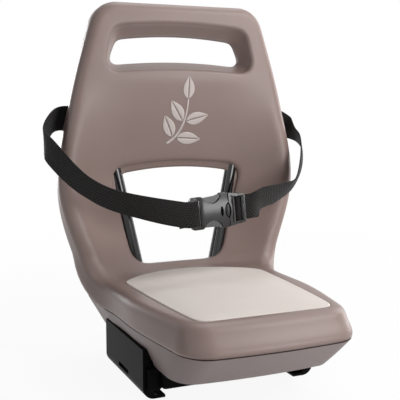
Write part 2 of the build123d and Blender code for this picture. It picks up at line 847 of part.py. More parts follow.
def belt_loop(points, radius):
    """Webbing folded round a bar: a band of belt thickness along a rounded line, seen from the side."""
    with BuildPart() as fold:
        with BuildSketch(buckle_side):
            with BuildLine():
                FilletPolyline(*points, radius=radius)
            trace(line_width=belt_thickness)
        extrude(amount=belt_width / 2, both=True)
    return fold.part


socket_lead = (bar_x - 8, ring_r)
plug_lead = (half_length + 7.5, -4.2)
with BuildPart() as belt_left:
    left_end = buckle_point(socket_lead[0], 0, socket_lead[1])
    add(belt_run(-1, belt_left_course + (left_end,), buckle_plane.x_dir))
    add(belt_loop([socket_lead, (bar_x + ring_r, ring_r), (bar_x + ring_r, -ring_r), (bar_x - 2, -ring_r),
                   (bar_x - 18, -0.6)], ring_r - 0.1))
    add(pin(back_point(-anchor_half, anchor_s, wall), back_point(-anchor_half, anchor_s, 2 * shell_depth),
            screw_r + 0.4), mode=Mode.SUBTRACT)
belt_left.part.label = "belt_left"
export_step(belt_left.part, "parts/belt_left.step")

with BuildPart() as belt_right:
    right_end = buckle_point(plug_lead[0], 0, plug_lead[1])
    add(belt_run(1, belt_right_course + (right_end,), -buckle_plane.x_dir))
    add(belt_loop([plug_lead, (30.2, -4.2), (30.2, 2.2), (24.8, 2.2), (24.8, -7), (56, -7)], 2))
    add(pin(back_point(anchor_half, anchor_s, wall), back_point(anchor_half, anchor_s, 2 * shell_depth),
            screw_r + 0.4), mode=Mode.SUBTRACT)
belt_right.part.label = "belt_right"
export_step(belt_right.part, "parts/belt_right.step")

# Clamp jaws: plate, hooked toe with a groove for the carrier's tube, and a tongue into the base
groove_r = rail_r + rail_clearance
groove_z = -rail_r
toe_top_z = groove_z - groove_r
toe_low_z = toe_top_z - jaw_toe
lip_x = rail_half + groove_r * cos(radians(groove_top_angle))
lip_z = groove_z + groove_r * sin(radians(groove_top_angle))
plate_x = jaw_outer - jaw_plate
nut_x = tongue_tip + 2

with BuildPart() as jaw_right:
    with BuildSketch(Plane(origin=(0, jaw_front_y, 0), x_dir=(1, 0, 0), z_dir=(0, -1, 0))) as jaw_profile:
        with BuildLine():
            Polyline((lip_x, lip_z), (lip_x, tongue_low_z), (plate_x, tongue_low_z), (plate_x, jaw_top_z),
                     (jaw_outer, jaw_top_z), (jaw_outer, toe_low_z), (jaw_lip_half, toe_low_z),
                     (jaw_lip_half, toe_top_z), (rail_half, toe_top_z))
            ThreePointArc((rail_half, toe_top_z), (rail_half + groove_r, groove_z), (lip_x, lip_z))
        make_face()
        corner = jaw_profile.vertices().group_by(Axis.X)[-1].sort_by(Axis.Y)
        fillet(corner[0], jaw_heel_radius)
        fillet(corner[-1], 3)
    extrude(amount=jaw_front_y - jaw_rear_y)
    with BuildSketch(Plane.XY.offset(tongue_low_z)):
        with Locations(((tongue_tip + plate_x) / 2, spindle_y)):
            Rectangle(plate_x - tongue_tip, tongue_rear_y - tongue_front_y)
    extrude(amount=tongue_high_z - tongue_low_z)
    with BuildSketch(Plane.XY.offset(tongue_low_z)):
        with Locations((nut_x + nut_length / 2, spindle_y)):
            Rectangle(nut_length + 0.2, nut_width + 0.2)
    extrude(amount=spindle_z - tongue_low_z + nut_height / 2 + 0.1, mode=Mode.SUBTRACT)
    add(pin((tongue_tip - 1, spindle_y, spindle_z), (spindle_half + jaw_travel + 4, spindle_y, spindle_z),
            spindle_r + 0.6), mode=Mode.SUBTRACT)
    with BuildSketch(Plane.YZ.offset(jaw_outer)):
        with Locations((spindle_y, toe_low_z + jaw_heel_radius + 2)):
            RectangleRounded(jaw_slot_length, jaw_slot_height, jaw_slot_height / 2 - 0.1)
    extrude(amount=-jaw_slot_depth, mode=Mode.SUBTRACT)
jaw_right.part.label = "jaw_right"
export_step(jaw_right.part, "parts/jaw_right.step")

with BuildPart() as jaw_left:
    add(mirror(jaw_right.part, about=Plane.YZ))
jaw_left.part.label = "jaw_left"
export_step(jaw_left.part, "parts/jaw_left.step")

with BuildPart() as jaw_nut_right:
    with BuildSketch(Plane.YZ.offset(nut_x)):
        with Locations((spindle_y, spindle_z)):
            Rectangle(nut_width, nut_height)
            Circle(spindle_r + spindle_clearance, mode=Mode.SUBTRACT)
    extrude(amount=nut_length)
jaw_nut_right.part.label = "jaw_nut_right"
export_step(jaw_nut_right.part, "parts/jaw_nut_right.step")

with BuildPart() as jaw_nut_left:
    add(mirror(jaw_nut_right.part, about=Plane.YZ))
jaw_nut_left.part.label = "jaw_nut_left"
export_step(jaw_nut_left.part, "parts/jaw_nut_left.step")

# Clamp base with tunnels for the jaw tongues, spindle journals and a window for the thumbwheel
base_mid_y = (base_front_y + base_rear_y) / 2
tunnel_in = tongue_tip - jaw_travel - 2
with BuildPart() as clamp_base:
    with BuildSketch():
        with Locations((0, base_mid_y)):
            Rectangle(2 * base_half, base_rear_y - base_front_y)
        with Locations((0, base_front_y + base_flange / 2), (0, base_rear_y - base_flange / 2)):
            Rectangle(2 * base_flange_half, base_flange)
        with Locations((0, spindle_y)):
            Rectangle(wheel_width + 2, 2 * wheel_r + 3, mode=Mode.SUBTRACT)
    extrude(amount=pan_bottom_z)
    fillet(clamp_base.edges().filter_by(Axis.Z).filter_by(lambda e: abs(e.center().X) > base_half + 1), 3)
    for side in (-1, 1):
        with BuildSketch(Plane.XY.offset(tongue_low_z - slide_clearance)):
            with Locations((side * (tunnel_in + base_flange_half) / 2, spindle_y)):
                Rectangle(base_flange_half - tunnel_in, tongue_rear_y - tongue_front_y + 2 * slide_clearance)
        extrude(amount=tongue_high_z - tongue_low_z + 2 * slide_clearance, mode=Mode.SUBTRACT)
    journal_r = spindle_r + spindle_clearance
    journals = pin((-base_half, spindle_y, spindle_z), (base_half, spindle_y, spindle_z), journal_r)
    add(journals, mode=Mode.SUBTRACT)
    for x, y in bolt_spots:
        add(pin((x, y, -1), (x, y, pan_bottom_z + 1), bolt_r + 0.3), mode=Mode.SUBTRACT)
        add(pin((x, y, -1), (x, y, bolt_seat_z), bolt_head_r + 0.5), mode=Mode.SUBTRACT)
clamp_base.part.label = "clamp_base"
export_step(clamp_base.part, "parts/clamp_base.step")

with BuildPart() as clamp_spindle:
    add(pin((-spindle_half, spindle_y, spindle_z), (spindle_half, spindle_y, spindle_z), spindle_r))
    chamfer(clamp_spindle.edges(), 0.8)
clamp_spindle.part.label = "clamp_spindle"
export_step(clamp_spindle.part, "parts/clamp_spindle.step")

with BuildPart() as thumbwheel:
    with BuildSketch(Plane.YZ.offset(-wheel_width / 2)):
        with Locations((spindle_y, spindle_z)):
            Circle(wheel_r)
            with PolarLocations(wheel_r, wheel_grips):
                Circle(1.2, mode=Mode.SUBTRACT)
            Circle(spindle_r + spindle_clearance, mode=Mode.SUBTRACT)
    extrude(amount=wheel_width)
thumbwheel.part.label = "thumbwheel"
export_step(thumbwheel.part, "parts/thumbwheel.step")

# Straps over the hoop's legs, with the bolts and nuts that hold pan and clamp base to them
strap_z = tube_z + tube_r + tube_clearance
with BuildPart() as cross_straps:
    for y in (bolt_front_y, bolt_rear_y):
        with BuildSketch(Plane.XY.offset(strap_z)):
            with Locations((0, y)):
                RectangleRounded(2 * bolt_half + strap_width - 4, strap_width, 4)
            with Locations((-bolt_half, y), (bolt_half, y)):
                Circle(bolt_r + 0.3, mode=Mode.SUBTRACT)
        extrude(amount=strap_thickness)
cross_straps.part.label = "cross_straps"
export_step(cross_straps.part, "parts/cross_straps.step")

nut_z = strap_z + strap_thickness
with BuildPart() as base_bolts:
    for x, y in bolt_spots:
        add(screw((x, y, bolt_seat_z), (x, y, nut_z + 7), bolt_r, bolt_head_r, bolt_head_h))
base_bolts.part.label = "base_bolts"
export_step(base_bolts.part, "parts/base_bolts.step")

with BuildPart() as base_nuts:
    with BuildSketch(Plane.XY.offset(nut_z)):
        with Locations(*bolt_spots):
            RegularPolygon(5.7, 6)
            Circle(bolt_r + 0.1, mode=Mode.SUBTRACT)
    extrude(amount=5)
base_nuts.part.label = "base_nuts"
export_step(base_nuts.part, "parts/base_nuts.step")
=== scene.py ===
import math
from collections import Counter

import bmesh
import bpy
import numpy as np
from mathutils import Matrix, Vector
from mathutils.geometry import delaunay_2d_cdt


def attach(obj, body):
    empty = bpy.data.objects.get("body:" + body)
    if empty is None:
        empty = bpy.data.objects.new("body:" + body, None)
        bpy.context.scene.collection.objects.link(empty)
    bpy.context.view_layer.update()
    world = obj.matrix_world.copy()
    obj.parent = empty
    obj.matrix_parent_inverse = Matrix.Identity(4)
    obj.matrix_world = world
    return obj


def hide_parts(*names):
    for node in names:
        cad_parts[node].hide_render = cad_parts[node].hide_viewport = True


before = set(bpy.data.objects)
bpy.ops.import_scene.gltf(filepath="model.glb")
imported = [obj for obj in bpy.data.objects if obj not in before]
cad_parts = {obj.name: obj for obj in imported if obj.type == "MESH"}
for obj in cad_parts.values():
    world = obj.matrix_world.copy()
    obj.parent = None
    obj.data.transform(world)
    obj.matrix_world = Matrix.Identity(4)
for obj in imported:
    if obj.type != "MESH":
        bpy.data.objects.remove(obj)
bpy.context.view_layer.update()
scene = bpy.context.scene
scene.view_settings.view_transform = "Standard"
mm = 0.001  # shapes below are written in millimetres


# Camera where the photograph was taken from
camera = {
    "place": (-0.370442, -0.870882, 0.302696),
    "ahead": (0.39699, 0.909149, -0.125883),
    "up": (0.048694, 0.116098, 0.992043),
    "lens": 70.36,
}
ahead, up = Vector(camera["ahead"]), Vector(camera["up"])
right = ahead.cross(up)
cameraData = bpy.data.cameras.new("camera")
cameraData.lens = camera["lens"]
cameraData.sensor_width = 36
cameraData.clip_start, cameraData.clip_end = 0.05, 20
cameraObject = bpy.data.objects.new("camera", cameraData)
scene.collection.objects.link(cameraObject)
turn = Matrix((right, up, -ahead)).transposed().to_4x4()
cameraObject.matrix_world = Matrix.Translation(camera["place"]) @ turn
scene.camera = cameraObject


# Materials
def linear(hexColour):
    parts = [int(hexColour[i : i + 2], 16) / 255 for i in (1, 3, 5)]
    return [c / 12.92 if c <= 0.04045 else ((c + 0.055) / 1.055) ** 2.4 for c in parts] + [1]


def addNode(tree, kind, inputs=None, **settings):
    node = tree.nodes.new(kind)
    for name, value in settings.items():
        setattr(node, name, value)
    for name, value in (inputs or {}).items():
        if isinstance(value, bpy.types.NodeSocket):
            tree.links.new(value, node.inputs[name])
        else:
            node.inputs[name].default_value = value
    return node


def newMaterial(name, sockets):
    material = bpy.data.materials.new(name)
    material.use_nodes = True
    tree = material.node_tree
    tree.nodes.clear()
    shader = addNode(tree, "ShaderNodeBsdfPrincipled", sockets)
    addNode(tree, "ShaderNodeOutputMaterial", {"Surface": shader.outputs["BSDF"]})
    return material, tree, shader


def mouldedSurface(look):
    # cloudy tint and roughness over the whole part, fine grain from the mould as bump
    material, tree, shader = newMaterial(look["name"], look["sockets"])
    place = addNode(tree, "ShaderNodeTexCoord").outputs["Object"]
    cloud = addNode(tree, "ShaderNodeTexNoise", {"Vector": place, "Scale": 1000 / look["cloudMm"], "Detail": 3.0})
    grain = addNode(
        tree, "ShaderNodeTexNoise", {"Vector": place, "Scale": 1000 / look["grainMm"], "Detail": 2.0, "Roughness": 0.6}
    )
    light, dark = (linear(c) for c in look["colours"])
    tint = addNode(tree, "ShaderNodeMix", {0: cloud.outputs["Fac"], 6: dark, 7: light}, data_type="RGBA")
    low, high = look["roughness"]
    rough = addNode(tree, "ShaderNodeMapRange", {"Value": grain.outputs["Fac"], "To Min": low, "To Max": high})
    bump = addNode(
        tree, "ShaderNodeBump",
        {"Height": grain.outputs["Fac"], "Strength": look["bump"], "Distance": look["grainHeightMm"] * mm},
    )
    tree.links.new(tint.outputs[2], shader.inputs["Base Color"])
    tree.links.new(rough.outputs["Result"], shader.inputs["Roughness"])
    tree.links.new(bump.outputs["Normal"], shader.inputs["Normal"])
    return material


# Polypropylene moulded in a spark-eroded tool: even taupe, soft broad highlight, faint grain.
# The real grain is about 0.3 mm; it is drawn at 1.1 mm so that it shows.
shellPolypropylene = mouldedSurface({
    "name": "polypropylene_spark_textured", "colours": ("#907C76", "#87736D"), "roughness": (0.36, 0.45),
    "cloudMm": 70, "grainMm": 1.1, "grainHeightMm": 0.14, "bump": 0.34, "sockets": {"IOR": 1.49},
})
# Same plastic from another tool, a little greyer
panPolypropylene = mouldedSurface({
    "name": "polypropylene_base_textured", "colours": ("#837573", "#7A6C6A"), "roughness": (0.46, 0.56),
    "cloudMm": 60, "grainMm": 1.1, "grainHeightMm": 0.12, "bump": 0.25, "sockets": {"IOR": 1.49},
})
# EVA foam pressed in a hot mould: cream skin with tiny closed cells, almost no highlight
padFoam = mouldedSurface({
    "name": "eva_foam_hot_pressed", "colours": ("#E6DDD6", "#DED4CD"), "roughness": (0.62, 0.76),
    "cloudMm": 45, "grainMm": 1.4, "grainHeightMm": 0.2, "bump": 0.3,
    "sockets": {"IOR": 1.45, "Sheen Weight": 0.15, "Sheen Roughness": 0.5},
})
# Acetal moulded with a satin face: dark grey, clear soft highlights
buckleAcetal = mouldedSurface({
    "name": "acetal_satin_moulded", "colours": ("#2C2A2A", "#232222"), "roughness": (0.22, 0.3),
    "cloudMm": 25, "grainMm": 0.8, "grainHeightMm": 0.06, "bump": 0.2, "sockets": {"IOR": 1.48},
})
# Glass-filled nylon: near black, fibre flow makes the gloss patchy
clampNylon = mouldedSurface({
    "name": "nylon_glass_filled", "colours": ("#161516", "#0F0E0F"), "roughness": (0.3, 0.46),
    "cloudMm": 18, "grainMm": 1.2, "grainHeightMm": 0.08, "bump": 0.25,
    "sockets": {"IOR": 1.53, "Specular IOR Level": 0.02},
})
# Steel tube with gloss black powder coat: deep black, slight orange peel in the reflections
tubePowderCoat = mouldedSurface({
    "name": "steel_powder_coated_gloss", "colours": ("#101012", "#09090B"), "roughness": (0.12, 0.18),
    "cloudMm": 40, "grainMm": 2.4, "grainHeightMm": 0.05, "bump": 0.2,
    "sockets": {"IOR": 1.5},
})
# Zinc-plated steel: pale bluish metal with soft blotches from the bath
zincPlate = mouldedSurface({
    "name": "steel_zinc_plated", "colours": ("#C3C6C8", "#A9ADB0"), "roughness": (0.26, 0.42),
    "cloudMm": 6, "grainMm": 0.7, "grainHeightMm": 0.04, "bump": 0.15, "sockets": {"Metallic": 1.0},
})
# Pad-printed ink on the moulding: pale, flat, a touch smoother than the plastic
printInk = mouldedSurface({
    "name": "ink_pad_printed", "colours": ("#CDC2BE", "#C4B8B4"), "roughness": (0.4, 0.5),
    "cloudMm": 12, "grainMm": 0.9, "grainHeightMm": 0.05, "bump": 0.15, "sockets": {"IOR": 1.5},
})


def wovenWebbing(look):
    # woven polyester: ribs across the tape crossed by the diagonal of the twill, no gloss.
    # Real ribs are 0.9 mm apart; they are drawn at look["ribMm"] so that they show.
    sockets = {"Sheen Weight": 0.06, "Sheen Roughness": 0.6, "IOR": 1.5, "Specular IOR Level": 0.2}
    material, tree, shader = newMaterial(look["name"], sockets)
    tape = addNode(tree, "ShaderNodeUVMap", uv_map="tape").outputs["UV"]
    waveScale = 0.31416 * 1000  # a wave texture repeats every 0.31416 / scale
    slant = addNode(tree, "ShaderNodeMapping", {"Vector": tape, "Rotation": (0, 0, math.radians(look["slant"]))})
    rib = addNode(
        tree, "ShaderNodeTexWave",
        {"Vector": slant.outputs["Vector"], "Scale": waveScale / look["ribMm"], "Distortion": 0.6, "Detail": 1.0},
    )
    cross = addNode(
        tree, "ShaderNodeTexWave", {"Vector": tape, "Scale": waveScale / look["crossMm"], "Distortion": 0.4},
        bands_direction="Y",
    )
    weave = addNode(tree, "ShaderNodeMath", {0: rib.outputs["Fac"], 1: cross.outputs["Fac"]}, operation="MULTIPLY")
    fuzz = addNode(tree, "ShaderNodeTexNoise", {"Vector": tape, "Scale": 1000 / look["fuzzMm"], "Detail": 4.0})
    height = addNode(tree, "ShaderNodeMath", {0: weave.outputs["Value"], 1: fuzz.outputs["Fac"]}, operation="ADD")
    # the colour follows the weave's height, lighter on the raised ribs and darker in the grooves: painted highlight on
    # the ribs and painted shade in the grooves, on top of the bump
    light, dark = (linear(c) for c in look["colours"])
    tint = addNode(tree, "ShaderNodeMix", {0: weave.outputs["Value"], 6: dark, 7: light}, data_type="RGBA")
    rough = addNode(tree, "ShaderNodeMapRange", {"Value": fuzz.outputs["Fac"], "To Min": 0.7, "To Max": 0.9})
    bump = addNode(tree, "ShaderNodeBump", {"Height": height.outputs["Value"], "Strength": 0.9, "Distance": 0.0005})
    tree.links.new(tint.outputs[2], shader.inputs["Base Color"])
    tree.links.new(rough.outputs["Result"], shader.inputs["Roughness"])
    tree.links.new(bump.outputs["Normal"], shader.inputs["Normal"])
    return material


# the two colours are one black yarn, its lit rib as painted highlight and its groove as painted shade
beltWebbing = wovenWebbing({
    "name": "polyester_webbing_woven", "colours": ("#2E2A29", "#070606"), "slant": 28, "ribMm": 3.0,
    "crossMm": 2.6, "fuzzMm": 1.2,
})
slotMaterials = {
    "shell_plastic": shellPolypropylene, "pan_plastic": panPolypropylene, "pad_foam": padFoam,
    "tube_steel": tubePowderCoat, "zinc_steel": zincPlate, "webbing": beltWebbing,
    "buckle_plastic": buckleAcetal, "clamp_plastic": clampNylon,
}
print("materials:", len(bpy.data.materials))


# Mesh building
def newPiece(name, verts, faces, slot, material=None, sharp=40, uvs=None, upAt=None):
    # upAt is a point whose nearest face has to look up, for a sheet that has no inside
    mesh = bpy.data.meshes.new(name)
    mesh.from_pydata([tuple(c * mm for c in v) for v in verts], [], faces)
    if mesh.validate():
        print(name, "had faulty faces")
    shape = bmesh.new()
    shape.from_mesh(mesh)
    bmesh.ops.delete(shape, geom=[v for v in shape.verts if not v.link_faces], context="VERTS")
    bmesh.ops.recalc_face_normals(shape, faces=shape.faces)
    if upAt:
        near = min(shape.faces, key=lambda f: (f.calc_center_median() - Vector(upAt) * mm).length)
        if near.normal.z < 0:
            bmesh.ops.reverse_faces(shape, faces=shape.faces)
    shape.to_mesh(mesh)
    shape.free()
    if uvs:
        layer = mesh.uv_layers.new(name="tape")
        for loop in mesh.loops:
            layer.data[loop.index].uv = [c * mm for c in uvs[loop.vertex_index]]
    mesh.polygons.foreach_set("use_smooth", [True] * len(mesh.polygons))
    mesh.set_sharp_from_angle(angle=math.radians(sharp))
    mesh.materials.append(material or slotMaterials[slot])
    piece = bpy.data.objects.new(name, mesh)
    scene.collection.objects.link(piece)
    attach(piece, "seat")
    return piece


def easeEdges(piece, widthMm, segments, angle, harden=True):
    ease = piece.modifiers.new("easedEdges", "BEVEL")
    ease.width, ease.segments, ease.limit_method = widthMm * mm, segments, "ANGLE"
    ease.angle_limit, ease.harden_normals = math.radians(angle), harden


def addRing(verts, points):
    verts.extend(points)
    return list(range(len(verts) - len(points), len(verts)))


def bridge(faces, low, high, closed=True):
    for i in range(len(low) if closed else len(low) - 1):
        j = (i + 1) % len(low)
        faces.append((low[i], low[j], high[j], high[i]))


def smoothValue(table, t, column):
    # cubic pieces with matching slopes through the rows of a table, straight beyond its ends
    def slope(i):
        low, high = table[max(i - 1, 0)], table[min(i + 1, len(table) - 1)]
        return (high[column] - low[column]) / (high[0] - low[0])

    last = len(table) - 1
    if t <= table[0][0]:
        return table[0][column] + slope(0) * (t - table[0][0])
    if t >= table[last][0]:
        return table[last][column] + slope(last) * (t - table[last][0])
    i = max(k for k in range(last) if table[k][0] <= t)
    h = table[i + 1][0] - table[i][0]
    f = (t - table[i][0]) / h
    rise = 3 * f**2 - 2 * f**3
    value = table[i][column] * (1 - rise) + table[i + 1][column] * rise
    return value + h * (slope(i) * (f**3 - 2 * f**2 + f) + slope(i + 1) * (f**3 - f**2))


def arcThrough(a, b, c, count=40):
    # points on the circle through three points, or on the straight line if they are in line
    a, b, c = (np.array(p, float) for p in (a, b, c))
    cross = (b[0] - a[0]) * (c[1] - a[1]) - (b[1] - a[1]) * (c[0] - a[0])
    if abs(cross) < 1e-6:
        return [tuple(a + (c - a) * i / (count - 1)) for i in range(count)]
    d = 2 * (a[0] * (b[1] - c[1]) + b[0] * (c[1] - a[1]) + c[0] * (a[1] - b[1]))
    cx = ((a @ a) * (b[1] - c[1]) + (b @ b) * (c[1] - a[1]) + (c @ c) * (a[1] - b[1])) / d
    cy = ((a @ a) * (c[0] - b[0]) + (b @ b) * (a[0] - c[0]) + (c @ c) * (b[0] - a[0])) / d
    r = math.hypot(a[0] - cx, a[1] - cy)
    start, end = (math.atan2(p[1] - cy, p[0] - cx) for p in (a, c))
    sweep = (end - start) % (2 * math.pi)
    if cross < 0:
        sweep -= 2 * math.pi
    return [
        (cx + r * math.cos(start + sweep * i / (count - 1)), cy + r * math.sin(start + sweep * i / (count - 1)))
        for i in range(count)
    ]


def roundedLoop(edges, radii, count):
    # closed line of edges with rounded corners, evenly divided, with its outward directions;
    # radii[i] rounds the corner at the end of edge i
    trimmed = [list(e) for e in edges]
    arcs = []
    for i, radius in enumerate(radii):
        one, two = np.array(edges[i], float), np.array(edges[(i + 1) % len(edges)], float)
        corner = one[-1]
        into, out = one[-1] - one[-2], two[1] - two[0]
        into, out = into / np.hypot(*into), out / np.hypot(*out)
        angle = math.acos(max(-1, min(1, into @ out)))
        cut = radius * math.tan(angle / 2)
        a, b = corner - into * cut, corner + out * cut
        bisector = (out - into) / np.hypot(*(out - into))
        centre = corner + bisector * radius / math.cos(angle / 2)
        middle = centre - bisector * radius
        arcs.append(arcThrough(a, middle, b, 16))
        trimmed[i] = [p for p in trimmed[i] if math.dist(p, corner) > cut]
        k = (i + 1) % len(edges)
        trimmed[k] = [p for p in trimmed[k] if math.dist(p, corner) > cut]
    line = []
    for i in range(len(edges)):
        line += trimmed[i] + arcs[i]
    line = np.array(line)
    steps = np.hypot(*(np.roll(line, -1, 0) - line).T)
    along = np.concatenate([[0], np.cumsum(steps)])
    closed = np.vstack([line, line[:1]])
    spots = np.arange(count) * along[-1] / count
    loop = np.stack([np.interp(spots, along, closed[:, k]) for k in (0, 1)], 1)
    for _ in range(3):
        loop = 0.5 * loop + 0.25 * (np.roll(loop, 1, 0) + np.roll(loop, -1, 0))
    tangent = np.roll(loop, -1, 0) - np.roll(loop, 1, 0)
    area = np.sum(loop[:, 0] * np.roll(loop[:, 1], -1) - loop[:, 1] * np.roll(loop[:, 0], -1))
    outward = np.stack([tangent[:, 1], -tangent[:, 0]], 1) * (1 if area > 0 else -1)
    return loop, outward / np.hypot(*outward.T)[:, None]


def inside(loop, points):
    points = np.asarray(points)
    hit = np.zeros(len(points), bool)
    x, y = points[:, 0], points[:, 1]
    for (ax, ay), (bx, by) in zip(loop, np.roll(loop, -1, 0)):
        if ay == by:
            continue
        crosses = (ay > y) != (by > y)
        hit ^= crosses & (x < (bx - ax) * (y - ay) / (by - ay) + ax)
    return hit


def clearSpots(spots, loops, room, parts=1):
    # points inside the first line, outside the others and not too near any of them
    keep = inside(loops[0], spots)
    for hole in loops[1:]:
        keep &= ~inside(hole, spots)
    for loop in loops:
        dense = np.concatenate([loop + (np.roll(loop, -1, 0) - loop) * k / parts for k in range(parts)])
        keep &= np.min(np.hypot(spots[:, None, 0] - dense[None, :, 0], spots[:, None, 1] - dense[None, :, 1]), 1) > room
    return spots[keep]


def flatMesh(loops, spots):
    # triangles inside the first line and outside the others, over loose points, and each line's corners
    places, lines = [], []
    for loop in loops:
        first = len(places)
        places += [Vector(p) for p in loop]
        lines += [(first + i, first + (i + 1) % len(loop)) for i in range(len(loop))]
    places += [Vector(p) for p in spots]
    flat, _, triangles, origin, _, _ = delaunay_2d_cdt(places, lines, [], 1, 1e-6)
    flat = np.array([tuple(p) for p in flat])
    centres = np.array([flat[list(t)].mean(0) for t in triangles])
    keep = inside(loops[0], centres)
    for hole in loops[1:]:
        keep &= ~inside(hole, centres)
    kept = [tuple(t) for t, k in zip(triangles, keep) if k]
    uses = Counter(frozenset((t[i], t[i - 1])) for t in kept for i in range(3))
    # a lone scrap where two lines cross is left out
    kept = [t for t in kept if any(uses[frozenset((t[i], t[i - 1]))] > 1 for i in range(3))]
    outOf = {source: i for i, sources in enumerate(origin) for source in sources}
    rings, first = [], 0
    for loop in loops:
        rings.append([outOf[first + i] for i in range(len(loop))])
        first += len(loop)
    return flat, kept, rings


# Seat shell: one bent sheet, x across and u along it from the front edge to the top of the back
shell = {
    "wall": 3.0, "seatZ": 90.0, "depth": 31.0, "backFootY": 20.2, "recline": 2.47, "bend": 28.0,
    "backHeight": 330.5, "frontTopY": -211.0, "frontPartY": -226.5, "frontBowRadius": 702.0,
    "rim": 11.0, "frontRimGain": 5.0, "frontBulge": 3.0, "partGap": 0.9, "frontCorner": 32.0,
    "topCorner": 36.0, "dishMargin": 19.0, "dishEase": 0.6, "dishPower": 3.2,
    "dishLevels": [  # height, how far back the middle of the dished face lies
        (90.3, 42.0), (100.0, 46.0), (118.0, 51.0), (140.0, 54.0), (175.0, 54.5), (212.0, 53.0),
        (240.0, 48.5), (265.0, 43.5), (290.0, 38.0), (315.0, 33.2), (335.0, 29.5),
    ],
    "handle": {"roll": 5.0, "depth": 25.0, "top": (87.0, 300.5), "low": (99.5, 246.5), "bows": (5.5, 5.5),
               "corners": (13, 13), "rearTop": (77.5, 287.2), "rearLow": (90.0, 256.0), "rearCorners": (7, 7)},
    "window": {"roll": 8.0, "depth": 31.0, "top": (90.0, 130.0), "low": (60.0, 8.5), "bows": (9.0, 0.5),
               "corners": (16, 26), "rearTop": (84.6, 121.5), "rearLow": (60.2, 8.5), "rearCorners": (16, 26)},
    "gridMm": 6.0, "rowSteps": (0.5, 0.9), "edgeRoom": 2.2, "rimSteps": 8, "skirtSteps": 6, "openingPoints": 132,
    "footFillet": 9.0, "topFade": 25.0, "tube": {"footHalf": 52.3, "splay": 0.2135, "depth": 33.0, "room": 8.2},
}
pad = {"frontY": -197.0, "rearY": 36.0, "cornerY": -8.0, "bow": 2.5, "halfFront": 78.0, "halfRear": 91.0,
       "floorZ": 87.0, "corner": 10.0, "gap": 0.4, "points": 150}

lean = math.radians(shell["recline"])
bendRunOut = shell["bend"] * (1 - math.sin(lean)) / math.cos(lean)
bendY = shell["backFootY"] - bendRunOut
bendZ = shell["seatZ"] + shell["bend"]
startY = shell["frontPartY"] - 15
seatRun = bendY - startY
bendAngle = math.pi / 2 - lean
bendEnd = seatRun + shell["bend"] * bendAngle
backStart = bendEnd - bendRunOut
topU = backStart + shell["backHeight"]
stations = [  # u, half-width, flare of the skirt's lower edge
    (-205 - startY, 91.0, 6.0), (-100 - startY, 112.0, -2.5), (seatRun, 115.0, -1.0),
    (bendEnd, 133.5, 2.0), (backStart + 115, 158.5, -5.0), (backStart + 213, 141.5, -5.0),
    (backStart + 300, 117.0, -5.0), (topU, 105.0, -5.0),
]
frontSlope = (shell["frontTopY"] - shell["frontPartY"]) / shell["depth"]


def backPoint(x, s, depth):
    y = shell["backFootY"] + s * math.sin(lean) + depth * math.cos(lean)
    return Vector((x, y, shell["seatZ"] + s * math.cos(lean) - depth * math.sin(lean)))


def backPlace(point):
    # the same, the other way: x, distance up the back, depth
    y, z = point[1] - shell["backFootY"], point[2] - shell["seatZ"]
    return point[0], y * math.sin(lean) + z * math.cos(lean), y * math.cos(lean) - z * math.sin(lean)


def sheetPoint(x, u, depth):
    if u <= seatRun:
        return Vector((x, startY + u, shell["seatZ"] - depth))
    if u <= bendEnd:
        a, r = (u - seatRun) / shell["bend"], shell["bend"] + depth
        return Vector((x, bendY + r * math.sin(a), bendZ - r * math.cos(a)))
    return backPoint(x, u - backStart, depth)


def dishY(x, z):
    z = max(z, shell["seatZ"])
    if z < bendZ - shell["bend"] * math.sin(lean):
        a = math.acos((bendZ - z) / shell["bend"])
        sideY, u = bendY + shell["bend"] * math.sin(a), seatRun + shell["bend"] * a
    else:
        s = (z - shell["seatZ"]) / math.cos(lean)
        sideY, u = shell["backFootY"] + s * math.sin(lean), backStart + s
    half = smoothValue(stations, u, 1) - shell["dishMargin"]
    rise = smoothValue(shell["dishLevels"], max(z, 90.3), 1) - sideY
    sag = rise * (1 - abs(x / half) ** shell["dishPower"]) if rise > 0 else rise
    return sideY + (sag + math.hypot(sag, shell["dishEase"])) / 2


def dishDepth(x, u):
    if u <= seatRun:
        return 0.0
    if u >= bendEnd:
        depth = 0.0
        for _ in range(3):
            p = backPoint(x, u - backStart, depth)
            depth += (dishY(x, p.z) - p.y) / math.cos(lean)
        return depth * min(1, max(0, (topU - u) / shell["topFade"]))
    a = (u - seatRun) / shell["bend"]
    low, high = shell["bend"] * 0.9, 90.0
    for _ in range(22):
        r = (low + high) / 2
        if bendY + r * math.sin(a) < dishY(x, bendZ - r * math.cos(a)):
            low = r
        else:
            high = r
    floorR, wallR = shell["bend"] / math.cos(a), (low + high) / 2
    reach = 1 - (x / (smoothValue(stations, u, 1) - shell["dishMargin"])) ** 2
    blendR = shell["footFillet"] * min(1, max(0.02, reach * 2))  # fillet where the back rises from the seat
    near = max(blendR - abs(floorR - wallR), 0) / blendR
    return max(min(floorR, wallR) - near**2 * blendR / 4 - shell["bend"], 0)


def panelPoint(x, u):
    return sheetPoint(x, u, dishDepth(x, u))


def sheetPlace(y, z):
    # u of a point seen along the sheet's own section
    a = math.atan2(y - bendY, bendZ - z)
    if a >= bendAngle:
        return backStart + (y - shell["backFootY"]) * math.sin(lean) + (z - shell["seatZ"]) * math.cos(lean)
    return seatRun + shell["bend"] * a if y > bendY else y - startY


def wallPlace(x, s):
    # u of the dished wall at distance s up the back
    z = shell["seatZ"] + s
    for _ in range(4):
        y = dishY(x, z)
        z += (s - backPlace((x, y, z))[1]) / math.cos(lean)
    return sheetPlace(y, z)


